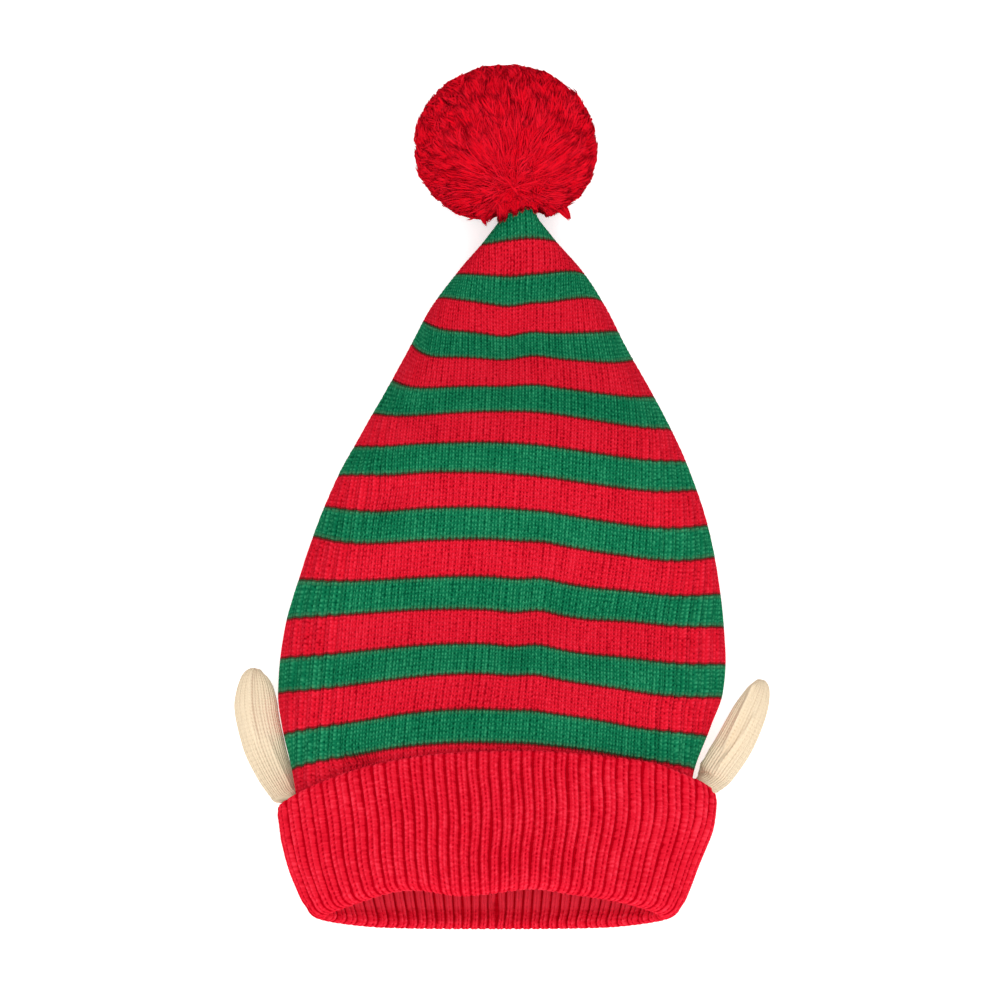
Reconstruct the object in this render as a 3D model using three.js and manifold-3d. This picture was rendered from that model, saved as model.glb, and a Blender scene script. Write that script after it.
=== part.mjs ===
// A knitted elf hat lying on its back: a striped crown, a ribbed cuff turned up round the mouth,
// two padded knitted ears sewn in between crown and cuff, and a yarn pompom on the tip.
// Millimetres. +X is the hat's right as it lies, +Y runs from the mouth to the pompom, +Z is up.
import * as THREE from 'three';
import { mergeVertices } from 'three/addons/utils/BufferGeometryUtils.js';
import Module from 'manifold-3d';

const wasm = await Module();
wasm.setup();

// The knitted tube, from the fold at the mouth to the closed tip.
const HAT_LENGTH = 364;
const HAT_WIDTH = 215;
const HAT_HEIGHT = 51;
const KNIT_WALL = 3;
const CROWN_START = 45;
const CROWN_HOLLOW_END = 351;
const TIP_ROUNDING = 2;
const WIDEST_AT = 0.35;
// Where the frame's origin sits on the flat back, measured from the mouth.
const ORIGIN_FROM_MOUTH = 215;

// A cross-section is an arch over a flatter back. The two meet at the side folds.
const SIDE_LEVEL = 0.38;
const ARCH_WIDTH_POWER = 2.4;
const ARCH_HEIGHT_POWER = 1.6;
const BACK_WIDTH_POWER = 3;
const BACK_HEIGHT_POWER = 2;
const BACK_FLATTENING = 3;

// The ribbed cuff: a leg inside, a fold at the mouth and a leg turned up outside. It is turned up
// CUFF_TILT further on the right and less on the left, and the ears' roots go with it.
const RIB_WALL = 3.4;
const RIB_COUNT = 74;
const RIB_DEPTH = 1.1;
const RIB_BUNCHING = 0.14;
const CUFF_GAP = 0.6;
const SEAM_GAP = 0.5;
const CUFF_FRONT = { fold: 10, height: 64 };
const CUFF_SIDE = { fold: 2.5, height: 55.5 };
const CUFF_BACK = { fold: 0, height: 65 };
const CUFF_TILT = 3;
const POCKET_REACH = 0.8;
const SHOULDER_SHARE = 0.7;

// The ears, each a padded leaf with a thin root held in the pocket at the side of the cuff.
const EAR_LENGTH = 76;
const EAR_WIDTH = 20;
const EAR_THICKNESS = 9.5;
const EAR_ROOT_THICKNESS = 3.8;
const EAR_ROOT_FROM_MOUTH = 50;
const EAR_CLEARANCE = 0.8;
const EAR_CREASE = 1.6;
const EAR_HELD_SHARE = 0.125;

// The pompom, a ball of cut yarn in locks, with a hollow for the crown's tip.
const POMPOM_WIDTH = 95;
const POMPOM_LENGTH = 80;
const POMPOM_HEIGHT = 88;
const POMPOM_CENTRE_HEIGHT = 41;
const POMPOM_DRIFT = -6.5;
const TIP_SUNK = 11;
const TIP_CLEARANCE = 1.2;
const LOCK_COUNT = 50;
const LOCK_WIDTH = 20;
const LOCK_LENGTH = 24;

// How finely the shapes are divided.
const CROWN_COLUMNS = 56;
const CROWN_OUTER_ROWS = 22;
const CROWN_INNER_ROWS = 10;
const EAR_SIDES = 14;
const EAR_ROWS = 15;
const LOCK_SIDES = 5;

// One row for each section of the tube. at: share of HAT_LENGTH from the mouth. half and centre:
// half-width and sideways place of the middle, shares of HAT_WIDTH. top and rise: heights of the
// front and of the back above the ground, shares of HAT_HEIGHT. lift: share of the two cuff layers
// that the back lies on.
const SECTIONS = [
  { at: 0.0, half: 0.365, centre: -0.016, top: 0.804, rise: 0, lift: 1 },
  { at: 0.022, half: 0.382, centre: -0.0135, top: 0.849, rise: 0, lift: 1 },
  { at: 0.064, half: 0.404, centre: -0.014, top: 0.863, rise: 0, lift: 1 },
  { at: 0.119, half: 0.4235, centre: -0.0085, top: 0.873, rise: 0, lift: 1 },
  { at: 0.188, half: 0.4387, centre: -0.0154, top: 0.882, rise: 0, lift: 0.95 },
  { at: 0.257, half: 0.475, centre: -0.008, top: 0.912, rise: 0, lift: 0.25 },
  { at: 0.304, half: 0.496, centre: 0.001, top: 0.882, rise: 0, lift: 0 },
  { at: 0.345, half: 0.5, centre: 0.006, top: 0.824, rise: 0, lift: 0 },
  { at: 0.395, half: 0.495, centre: 0.01, top: 0.79, rise: 0, lift: 0 },
  { at: 0.464, half: 0.475, centre: 0.02, top: 0.86, rise: 0, lift: 0 },
  { at: 0.533, half: 0.447, centre: 0.028, top: 0.951, rise: 0, lift: 0 },
  { at: 0.602, half: 0.408, centre: 0.034, top: 1.0, rise: 0, lift: 0 },
  { at: 0.671, half: 0.359, centre: 0.04, top: 0.912, rise: 0, lift: 0 },
  { at: 0.74, half: 0.306, centre: 0.043, top: 0.735, rise: 0, lift: 0 },
  { at: 0.809, half: 0.252, centre: 0.042, top: 0.588, rise: 0, lift: 0 },
  { at: 0.865, half: 0.2075, centre: 0.044, top: 0.569, rise: 0.02, lift: 0 },
  { at: 0.914, half: 0.147, centre: 0.048, top: 0.618, rise: 0.165, lift: 0 },
  { at: 0.956, half: 0.075, centre: 0.047, top: 0.725, rise: 0.39, lift: 0 },
  { at: 0.981, half: 0.041, centre: 0.045, top: 0.82, rise: 0.53, lift: 0 },
  { at: 1.0, half: 0.037, centre: 0.042, top: 0.9, rise: 0.6, lift: 0 },
];

// The main dents and ridges of the upper side. at, long: place and reach along the hat, shares of
// HAT_LENGTH. across, wide: place and reach across it, shares of the half-width. lift: height of a
// ridge, or depth of a dent where it is below nought, as a share of HAT_HEIGHT.
const FOLDS = [
  { at: 0.37, long: 0.12, across: 0.16, wide: 0.07, lift: 0.075 },
  { at: 0.37, long: 0.1, across: 0.03, wide: 0.07, lift: -0.05 },
  { at: 0.375, long: 0.085, across: 0.36, wide: 0.12, lift: -0.055 },
  { at: 0.385, long: 0.09, across: 0.6, wide: 0.14, lift: 0.04 },
  { at: 0.561, long: 0.03, across: -0.66, wide: 0.12, lift: -0.085 },
  { at: 0.6, long: 0.03, across: -0.6, wide: 0.2, lift: 0.05 },
  { at: 0.5, long: 0.04, across: -0.52, wide: 0.22, lift: 0.04 },
  { at: 0.78, long: 0.075, across: -0.13, wide: 0.13, lift: -0.06 },
  { at: 0.78, long: 0.1, across: 0.14, wide: 0.12, lift: 0.045 },
  { at: 0.78, long: 0.08, across: -0.5, wide: 0.16, lift: 0.045 },
  { at: 0.235, long: 0.04, across: 0.66, wide: 0.12, lift: -0.05 },
  { at: 0.245, long: 0.04, across: -0.62, wide: 0.16, lift: -0.045 },
];

// The ears' sections, from the root in the pocket to the tip. at: share of EAR_LENGTH. along, out
// and up: place of the middle from the root, shares of EAR_LENGTH. width: share of EAR_WIDTH.
// thick: share of EAR_THICKNESS, over the root's own thickness. roll: turn of the leaf about its
// length, in degrees, from lying flat.
const LEFT_EAR = [
  { at: 0, along: 0, out: 0, up: 0, width: 0.5, thick: 0, roll: 88 },
  { at: 0.125, along: 0.125, out: 0, up: 0, width: 0.62, thick: 0, roll: 82 },
  { at: 0.175, along: 0.16, out: 0.042, up: -0.02, width: 0.9, thick: 0.3, roll: 50 },
  { at: 0.24, along: 0.24, out: 0.088, up: -0.028, width: 0.95, thick: 0.45, roll: 40 },
  { at: 0.32, along: 0.34, out: 0.137, up: -0.025, width: 1, thick: 0.65, roll: 31 },
  { at: 0.46, along: 0.504, out: 0.199, up: -0.02, width: 1.1, thick: 0.9, roll: 24 },
  { at: 0.68, along: 0.73, out: 0.253, up: -0.03, width: 1.12, thick: 1, roll: 20 },
  { at: 0.83, along: 0.848, out: 0.264, up: -0.035, width: 0.97, thick: 0.9, roll: 18 },
  { at: 0.94, along: 0.942, out: 0.272, up: -0.035, width: 0.64, thick: 0.6, roll: 18 },
  { at: 1, along: 0.985, out: 0.268, up: -0.035, width: 0.3, thick: 0.1, roll: 18 },
];
const RIGHT_EAR = [
  { at: 0, along: 0, out: 0, up: 0, width: 0.5, thick: 0, roll: 88 },
  { at: 0.125, along: 0.125, out: 0, up: 0, width: 0.62, thick: 0, roll: 80 },
  { at: 0.175, along: 0.162, out: 0.05, up: -0.015, width: 0.88, thick: 0.3, roll: 50 },
  { at: 0.24, along: 0.206, out: 0.097, up: -0.015, width: 0.94, thick: 0.45, roll: 38 },
  { at: 0.32, along: 0.26, out: 0.131, up: -0.005, width: 0.99, thick: 0.65, roll: 28 },
  { at: 0.48, along: 0.414, out: 0.232, up: 0, width: 0.98, thick: 0.9, roll: 20 },
  { at: 0.68, along: 0.601, out: 0.326, up: 0, width: 0.89, thick: 1, roll: 16 },
  { at: 0.84, along: 0.728, out: 0.383, up: 0, width: 0.68, thick: 0.9, roll: 14 },
  { at: 0.95, along: 0.8, out: 0.408, up: 0, width: 0.44, thick: 0.6, roll: 14 },
  { at: 1, along: 0.832, out: 0.413, up: 0, width: 0.22, thick: 0.1, roll: 14 },
];

// Sizes that follow from those above.
const RIB_SWING = RIB_DEPTH / 2;
const OUTER_LEG_GAP = CUFF_GAP + RIB_SWING;
const CUFF_STACK = OUTER_LEG_GAP + RIB_WALL + RIB_SWING;
const POCKET_GAP = EAR_ROOT_THICKNESS + 2 * EAR_CLEARANCE - CUFF_GAP;

function columnSlope(rows, column, i) {
  return (rows[i + 1][column] - rows[i][column]) / (rows[i + 1].at - rows[i].at);
}

// A smooth curve through one column of a table, which never swings past the rows on either side.
function smoothColumn(rows, column) {
  const last = rows.length - 1;
  const slopes = rows.map((row, i) => {
    const before = columnSlope(rows, column, Math.max(i - 1, 0));
    const after = columnSlope(rows, column, Math.min(i, last - 1));
    return before * after > 0 ? (2 * before * after) / (before + after) : 0;
  });
  return (at) => {
    let i = 0;
    while (i < last - 1 && at > rows[i + 1].at) {
      i += 1;
    }
    const span = rows[i + 1].at - rows[i].at;
    const t = THREE.MathUtils.clamp((at - rows[i].at) / span, 0, 1);
    const ease = t * t * (3 - 2 * t);
    const leave = t * (1 - t) * (1 - t) * slopes[i] * span;
    const arrive = t * t * (t - 1) * slopes[i + 1] * span;
    return rows[i][column] * (1 - ease) + rows[i + 1][column] * ease + leave + arrive;
  };
}

const halfAt = smoothColumn(SECTIONS, 'half');
const centreAt = smoothColumn(SECTIONS, 'centre');
const topAt = smoothColumn(SECTIONS, 'top');
const riseAt = smoothColumn(SECTIONS, 'rise');
const liftAt = smoothColumn(SECTIONS, 'lift');

function bell(distance, reach) {
  return Math.exp(-((distance / reach) ** 2));
}

function foldHeight(at, across) {
  const lifts = FOLDS.map(
    (fold) => fold.lift * bell(at - fold.at, fold.long) * bell(across - fold.across, fold.wide),
  );
  return HAT_HEIGHT * lifts.reduce((sum, lift) => sum + lift, 0);
}

function bottomAt(fromMouth) {
  const at = fromMouth / HAT_LENGTH;
  return liftAt(at) * CUFF_STACK + riseAt(at) * HAT_HEIGHT;
}

function sideLevelAt(fromMouth) {
  const bottom = bottomAt(fromMouth);
  return bottom + (topAt(fromMouth / HAT_LENGTH) * HAT_HEIGHT - bottom) * SIDE_LEVEL;
}

// A point of the tube. angle runs from the right-hand fold over the front, which faces up, to the
// left-hand fold and on under the back. outset moves the point outwards from the crown's surface.
function tubePoint(fromMouth, angle, outset) {
  const at = fromMouth / HAT_LENGTH;
  const half = halfAt(at) * HAT_WIDTH + outset;
  const side = sideLevelAt(fromMouth);
  const cosine = Math.cos(angle);
  const sine = Math.sin(angle);
  const inFront = sine >= 0;
  const widthPower = 2 / (inFront ? ARCH_WIDTH_POWER : BACK_WIDTH_POWER);
  const across = Math.sign(cosine) * Math.abs(cosine) ** widthPower;
  const x = centreAt(at) * HAT_WIDTH + half * across;
  if (inFront) {
    const arch = sine ** (2 / ARCH_HEIGHT_POWER);
    const top = topAt(at) * HAT_HEIGHT + outset;
    return new THREE.Vector3(x, fromMouth, side + (top - side + foldHeight(at, across)) * arch);
  }
  const bottom = bottomAt(fromMouth) - outset;
  const bowl = (-sine) ** (2 / BACK_HEIGHT_POWER);
  const z = side - (side - bottom + BACK_FLATTENING) * bowl;
  return new THREE.Vector3(x, fromMouth, Math.max(z, bottom, 0));
}

// The angle of the point that lies a given rise above or below a side fold of the tube.
function angleBySide(fromMouth, rise, hand) {
  const side = sideLevelAt(fromMouth);
  const top = topAt(fromMouth / HAT_LENGTH) * HAT_HEIGHT;
  const deep = side - bottomAt(fromMouth) + BACK_FLATTENING;
  const sine = rise >= 0
    ? (rise / (top - side)) ** (ARCH_HEIGHT_POWER / 2)
    : -((-rise / deep) ** (BACK_HEIGHT_POWER / 2));
  const angle = Math.asin(THREE.MathUtils.clamp(sine, -1, 1));
  return hand > 0 ? angle : Math.PI - angle;
}

// Angles an even distance apart round the tube's section at one place. Bunching draws them together
// at the middle of the front and back and apart at the side folds.
function evenAngles(count, fromMouth, outset, bunching = 0) {
  const steps = count * 24;
  const lengths = [0];
  let before = tubePoint(fromMouth, 0, outset);
  for (let i = 1; i <= steps; i += 1) {
    const here = tubePoint(fromMouth, (i / steps) * 2 * Math.PI, outset);
    lengths.push(lengths[i - 1] + here.distanceTo(before));
    before = here;
  }
  const angles = [];
  let i = 0;
  for (let k = 0; k < count; k += 1) {
    const pull = (bunching * Math.sin((4 * Math.PI * k) / count)) / (4 * Math.PI);
    const goal = (k / count + pull) * lengths[steps];
    while (lengths[i + 1] < goal) {
      i += 1;
    }
    const t = (goal - lengths[i]) / (lengths[i + 1] - lengths[i]);
    angles.push(((i + t) / steps) * 2 * Math.PI);
  }
  return angles;
}

// A closed skin over rings of points that all run the same way. The rings either close on each
// other, or end in a point at both ends.
function skin(rings, ends) {
  const sides = rings[0].length;
  const corners = rings.flat();
  const faces = [];
  const bands = ends ? rings.length - 1 : rings.length;
  for (let r = 0; r < bands; r += 1) {
    const next = (r + 1) % rings.length;
    for (let s = 0; s < sides; s += 1) {
      const a = r * sides + s;
      const b = r * sides + ((s + 1) % sides);
      const c = next * sides + s;
      const d = next * sides + ((s + 1) % sides);
      faces.push(a, d, b, a, c, d);
    }
  }
  if (ends) {
    const first = corners.length;
    corners.push(ends[0], ends[1]);
    const lastRing = (rings.length - 1) * sides;
    for (let s = 0; s < sides; s += 1) {
      const t = (s + 1) % sides;
      faces.push(first, s, t);
      faces.push(first + 1, lastRing + t, lastRing + s);
    }
  }
  const geometry = new THREE.BufferGeometry().setFromPoints(corners);
  geometry.setIndex(faces);
  geometry.computeVertexNormals();
  return geometry;
}

function ringMiddle(ring) {
  const middle = new THREE.Vector3();
  ring.forEach((point) => middle.add(point));
  return middle.divideScalar(ring.length);
}

// Places from one end to another, closer together towards the far end, where the tip curves most.
function placesAlong(start, end, rows) {
  return Array.from({ length: rows }, (unused, i) => {
    const t = i / (rows - 1);
    return start + (end - start) * (t + 0.35 * t * (1 - t));
  });
}

const crownAngles = evenAngles(CROWN_COLUMNS, HAT_LENGTH * WIDEST_AT, 0);
const crownPlaces = placesAlong(CROWN_START, HAT_LENGTH, CROWN_OUTER_ROWS);

function crownRing(fromMouth, outset) {
  return crownAngles.map((angle) => tubePoint(fromMouth, angle, outset));
}

// The crown: the outside from the mouth to the tip, and the hollow inside it, open at the mouth.
function crownGeometry() {
  const inner = placesAlong(CROWN_START, CROWN_HOLLOW_END, CROWN_INNER_ROWS)
    .reverse()
    .map((place) => crownRing(place, -KNIT_WALL));
  const outer = crownPlaces.map((place) => crownRing(place, 0));
  const tip = ringMiddle(outer[outer.length - 1]);
  tip.y += TIP_ROUNDING;
  return skin([...inner, ...outer], [ringMiddle(inner[0]), tip]);
}

// A measure of the cuff that changes smoothly from its front over its sides to its back.
function roundCuff(measure, angle) {
  const sine = Math.sin(angle);
  const facing = sine >= 0 ? CUFF_FRONT : CUFF_BACK;
  return THREE.MathUtils.lerp(CUFF_SIDE[measure], facing[measure], sine * sine);
}

// How far the turned-up leg stands off the crown: close at front and back, open at the sides for
// the ears' roots, and close again towards the fold.
function legGap(angle, share) {
  const side = bell(Math.sin(angle), POCKET_REACH);
  return OUTER_LEG_GAP + POCKET_GAP * side * Math.min(1, share / SHOULDER_SHARE);
}

// One rib's outline: along the inner leg to the fold, round it, up the outer leg, and back.
function cuffOutline(angle, swing) {
  const fold = roundCuff('fold', angle);
  const height = roundCuff('height', angle);
  const top = fold + height + CUFF_TILT * Math.cos(angle);
  const gap = legGap(angle, 0);
  const outside = gap / 2 + RIB_WALL;
  const bend = fold + outside;
  const seam = CROWN_START - SEAM_GAP;
  const shoulder = THREE.MathUtils.lerp(bend, top, SHOULDER_SHARE);
  const round = (radius, turn) => [
    gap / 2 - radius * Math.cos(turn),
    bend - radius * Math.sin(turn),
  ];
  const outline = [
    [-RIB_WALL, seam],
    [-RIB_WALL, bend],
    round(outside, Math.PI / 4),
    round(outside, Math.PI / 2),
    round(outside, (3 * Math.PI) / 4),
    [gap + RIB_WALL, bend],
    [legGap(angle, SHOULDER_SHARE) + RIB_WALL, shoulder],
    [legGap(angle, 1) + RIB_WALL, top],
    [legGap(angle, 1), top],
    [legGap(angle, SHOULDER_SHARE), shoulder],
    [gap, bend],
    round(gap / 2, Math.PI / 2),
    [0, bend],
    [0, seam],
  ];
  return outline.map(([outset, fromMouth]) => tubePoint(fromMouth, angle, outset + swing));
}

// The cuff: every rib is a ridge and a hollow, the same on both faces of the knit.
function cuffGeometry() {
  const angles = evenAngles(RIB_COUNT * 2, CROWN_START, OUTER_LEG_GAP + RIB_WALL, RIB_BUNCHING);
  const ribs = angles.map((angle, i) => cuffOutline(angle, i % 2 ? -RIB_SWING : RIB_SWING));
  return skin(ribs.reverse());
}

// An ear: ovals along a bent line, rolled about it, with a crease along the upper face. In the
// pocket the ovals bend round the crown's side fold, and leave it past the cuff's edge.
function earGeometry(rows, hand) {
  const standOff = EAR_CLEARANCE + EAR_ROOT_THICKNESS / 2;
  const fromMouth = EAR_ROOT_FROM_MOUTH + hand * CUFF_TILT;
  const root = tubePoint(fromMouth, angleBySide(fromMouth, 0, hand), standOff);
  const column = (name) => smoothColumn(rows, name);
  const [along, out, up, width, thick, roll] = ['along', 'out', 'up', 'width', 'thick', 'roll'].map(column);
  const middleAt = (at) =>
    new THREE.Vector3(hand * out(at), along(at), up(at)).multiplyScalar(EAR_LENGTH).add(root);
  const rings = Array.from({ length: EAR_ROWS }, (unused, i) => {
    const at = i / (EAR_ROWS - 1);
    const middle = middleAt(at);
    const ahead = middleAt(Math.min(at + 0.01, 1)).sub(middleAt(Math.max(at - 0.01, 0))).normalize();
    const level = new THREE.Vector3().crossVectors(ahead, new THREE.Vector3(0, 0, 1)).normalize();
    const across = level.applyAxisAngle(ahead, THREE.MathUtils.degToRad(-hand * roll(at)));
    const above = new THREE.Vector3().crossVectors(across, ahead);
    const half = (width(at) * EAR_WIDTH) / 2;
    const deep = THREE.MathUtils.lerp(EAR_ROOT_THICKNESS, EAR_THICKNESS, thick(at)) / 2;
    const free = THREE.MathUtils.smoothstep(at, EAR_HELD_SHARE, 1.5 * EAR_HELD_SHARE);
    return Array.from({ length: EAR_SIDES }, (alsoUnused, s) => {
      const turn = (s / EAR_SIDES) * 2 * Math.PI;
      const crease = EAR_CREASE * thick(at) * bell(Math.cos(turn), 0.3) * Math.max(Math.sin(turn), 0);
      const held = angleBySide(middle.y, hand * half * Math.cos(turn), hand);
      const leaf = middle
        .clone()
        .addScaledVector(across, half * Math.cos(turn))
        .addScaledVector(above, deep * Math.sin(turn) - crease);
      return tubePoint(middle.y, held, standOff - deep * Math.sin(turn)).lerp(leaf, free);
    });
  });
  const tip = ringMiddle(rings[EAR_ROWS - 1]);
  tip.y += TIP_ROUNDING;
  return skin(rings, [ringMiddle(rings[0]), tip]);
}

// A closed geometry as a solid that can be joined and cut.
function solidOf(geometry) {
  const bare = geometry.clone();
  bare.deleteAttribute('normal');
  bare.deleteAttribute('uv');
  const merged = mergeVertices(bare);
  const vertProperties = new Float32Array(merged.attributes.position.array);
  const triVerts = new Uint32Array(merged.index.array);
  return new wasm.Manifold(new wasm.Mesh({ numProp: 3, vertProperties, triVerts }));
}

function geometryOf(solid) {
  const { vertProperties, triVerts } = solid.getMesh();
  const geometry = new THREE.BufferGeometry();
  geometry.setAttribute('position', new THREE.BufferAttribute(vertProperties, 3));
  geometry.setIndex(new THREE.BufferAttribute(triVerts, 1));
  geometry.computeVertexNormals();
  return geometry;
}

// One lock of yarn: a tuft that swells from its root and ends blunt.
function lockGeometry() {
  const profile = [
    new THREE.Vector2(0, 0),
    new THREE.Vector2(LOCK_WIDTH * 0.42, LOCK_LENGTH * 0.3),
    new THREE.Vector2(LOCK_WIDTH * 0.5, LOCK_LENGTH * 0.72),
    new THREE.Vector2(0, LOCK_LENGTH),
  ];
  return new THREE.LatheGeometry(profile, LOCK_SIDES);
}

// The pompom: locks set evenly over a ball, fused to it, hollowed for the crown's tip and
// flattened where it rests on the ground.
function pompomGeometry() {
  const reach = new THREE.Vector3(POMPOM_WIDTH / 2, POMPOM_LENGTH / 2, POMPOM_HEIGHT / 2);
  const tip = tubePoint(HAT_LENGTH, Math.PI / 2, 0);
  const centre = new THREE.Vector3(
    tip.x + POMPOM_DRIFT,
    HAT_LENGTH - TIP_SUNK + POMPOM_LENGTH / 2,
    POMPOM_CENTRE_HEIGHT,
  );
  const head = new THREE.SphereGeometry(1, 16, 10);
  const core = reach.clone().subScalar(LOCK_LENGTH / 4);
  head.scale(core.x, core.y, core.z).translate(centre.x, centre.y, centre.z);
  let ball = solidOf(head);
  const tuft = lockGeometry();
  const upright = new THREE.Vector3(0, 1, 0);
  const golden = Math.PI * (3 - Math.sqrt(5));
  for (let i = 0; i < LOCK_COUNT; i += 1) {
    const height = 1 - (2 * (i + 0.5)) / LOCK_COUNT;
    const spread = Math.sqrt(1 - height * height);
    const outwards = new THREE.Vector3(
      spread * Math.cos(golden * i),
      height,
      spread * Math.sin(golden * i),
    );
    const end = outwards.clone().multiply(reach);
    const root = end.clone().setLength(end.length() - LOCK_LENGTH).add(centre);
    const turn = new THREE.Quaternion().setFromUnitVectors(upright, end.clone().normalize());
    const lock = tuft.clone().applyQuaternion(turn).translate(root.x, root.y, root.z);
    ball = ball.add(solidOf(lock));
  }
  const ground = new THREE.BoxGeometry(2 * POMPOM_WIDTH, 2 * POMPOM_LENGTH, POMPOM_HEIGHT);
  ground.translate(centre.x, centre.y, -POMPOM_HEIGHT / 2);
  const rings = crownPlaces
    .filter((place) => place > HAT_LENGTH - 3 * TIP_SUNK)
    .map((place) => crownRing(place, TIP_CLEARANCE));
  const hollowEnd = ringMiddle(rings[rings.length - 1]);
  hollowEnd.y += TIP_ROUNDING + TIP_CLEARANCE;
  const hollow = skin(rings, [ringMiddle(rings[0]), hollowEnd]);
  return geometryOf(ball.subtract(solidOf(ground)).subtract(solidOf(hollow)));
}

function knitted(name, geometry, colour) {
  const material = new THREE.MeshStandardMaterial({ color: colour, roughness: 0.9, metalness: 0 });
  const mesh = new THREE.Mesh(geometry, material);
  mesh.name = name;
  return mesh;
}

const hat = new THREE.Group();
hat.add(knitted('crown', crownGeometry(), 0x17704b));
hat.add(knitted('cuff', cuffGeometry(), 0xdc1c30));
hat.add(knitted('ear_left', earGeometry(LEFT_EAR, -1), 0xf2dbbb));
hat.add(knitted('ear_right', earGeometry(RIGHT_EAR, 1), 0xf2dbbb));
hat.add(knitted('pompom', pompomGeometry(), 0xd00e20));
hat.position.y = -ORIGIN_FROM_MOUTH;

export default hat;
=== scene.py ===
# %% [markdown]
# A knitted elf hat lies on its back, seen from nearly above. It is a long striped tube that narrows
# to a point, with a ribbed cuff turned up round the mouth, two padded ears sewn in at the sides and a
# pompom of cut yarn on the tip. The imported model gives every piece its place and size, and this
# lesson dresses it: each piece is worked out as a surface with numpy, down to its single stitches.

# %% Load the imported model
import math

import bpy
import numpy as np
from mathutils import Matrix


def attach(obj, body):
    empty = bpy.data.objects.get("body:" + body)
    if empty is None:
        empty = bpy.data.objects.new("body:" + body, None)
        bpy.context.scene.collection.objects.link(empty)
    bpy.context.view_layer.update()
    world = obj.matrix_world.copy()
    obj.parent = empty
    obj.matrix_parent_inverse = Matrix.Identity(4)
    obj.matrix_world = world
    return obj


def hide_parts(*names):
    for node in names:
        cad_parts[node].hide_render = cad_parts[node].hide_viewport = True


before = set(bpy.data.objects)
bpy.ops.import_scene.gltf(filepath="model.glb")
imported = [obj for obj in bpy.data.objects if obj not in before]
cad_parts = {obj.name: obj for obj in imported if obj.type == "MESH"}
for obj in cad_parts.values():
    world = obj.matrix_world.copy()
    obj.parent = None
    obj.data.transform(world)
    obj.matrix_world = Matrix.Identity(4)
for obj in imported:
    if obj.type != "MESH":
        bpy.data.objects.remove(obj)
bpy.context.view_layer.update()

# %% [markdown]
# The photographer stood over the hat, on the mouth's side, about twenty degrees off straight down. A
# long lens from a little over a metre gives the same outline: the pointed end is hardly smaller than
# the cuff. The camera comes first, so that every later step can be looked at.

# %% Camera
VIEW_ELEVATION = math.radians(70)
VIEW_DISTANCE = 1.2
camera_data = bpy.data.cameras.new("camera")
camera_data.sensor_width = 36.0
camera_data.lens = 86.4
camera = bpy.data.objects.new("camera", camera_data)
camera.location = (0, -VIEW_DISTANCE * math.cos(VIEW_ELEVATION), VIEW_DISTANCE * math.sin(VIEW_ELEVATION))
camera.rotation_euler = (math.pi / 2 - VIEW_ELEVATION, 0, 0)
bpy.context.collection.objects.link(camera)
bpy.context.scene.camera = camera
print("camera", round(VIEW_DISTANCE, 2), "m away,", round(math.degrees(VIEW_ELEVATION)), "degrees up")

# %% [markdown]
# A finish is a small tree of shader nodes, and most of it is arithmetic. A class that wraps a socket
# and overloads the operators lets that arithmetic be written as plain expressions. Anything that
# isn't a sum of numbers comes from one method, which takes a node's type, settings and inputs.


# %% Shader arithmetic
class Signal:
    """A number that varies over a surface: each operator adds the Math node that works it out."""

    def __init__(self, finish, socket):
        self.finish, self.socket = finish, socket

    def math(self, operation, *others):
        values = dict(enumerate((self,) + others))
        return self.finish.node("ShaderNodeMath", {"operation": operation}, values)

    def __add__(self, other): return self.math("ADD", other)
    def __sub__(self, other): return self.math("SUBTRACT", other)
    def __mul__(self, other): return self.math("MULTIPLY", other)
    def __truediv__(self, other): return self.math("DIVIDE", other)
    def __rsub__(self, other): return self.finish.constant(other).math("SUBTRACT", self)
    __radd__ = __add__
    __rmul__ = __mul__

    def fraction(self): return self.math("FRACT")
    def size(self): return self.math("ABSOLUTE")
    def wave(self): return self.math("COSINE")

    def step(self, low, high):
        """Rises smoothly from nought at low to one at high, or falls where low is the greater."""
        settings = {"interpolation_type": "SMOOTHSTEP"}
        return self.finish.node("ShaderNodeMapRange", settings, {0: self, 1: low, 2: high})


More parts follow.
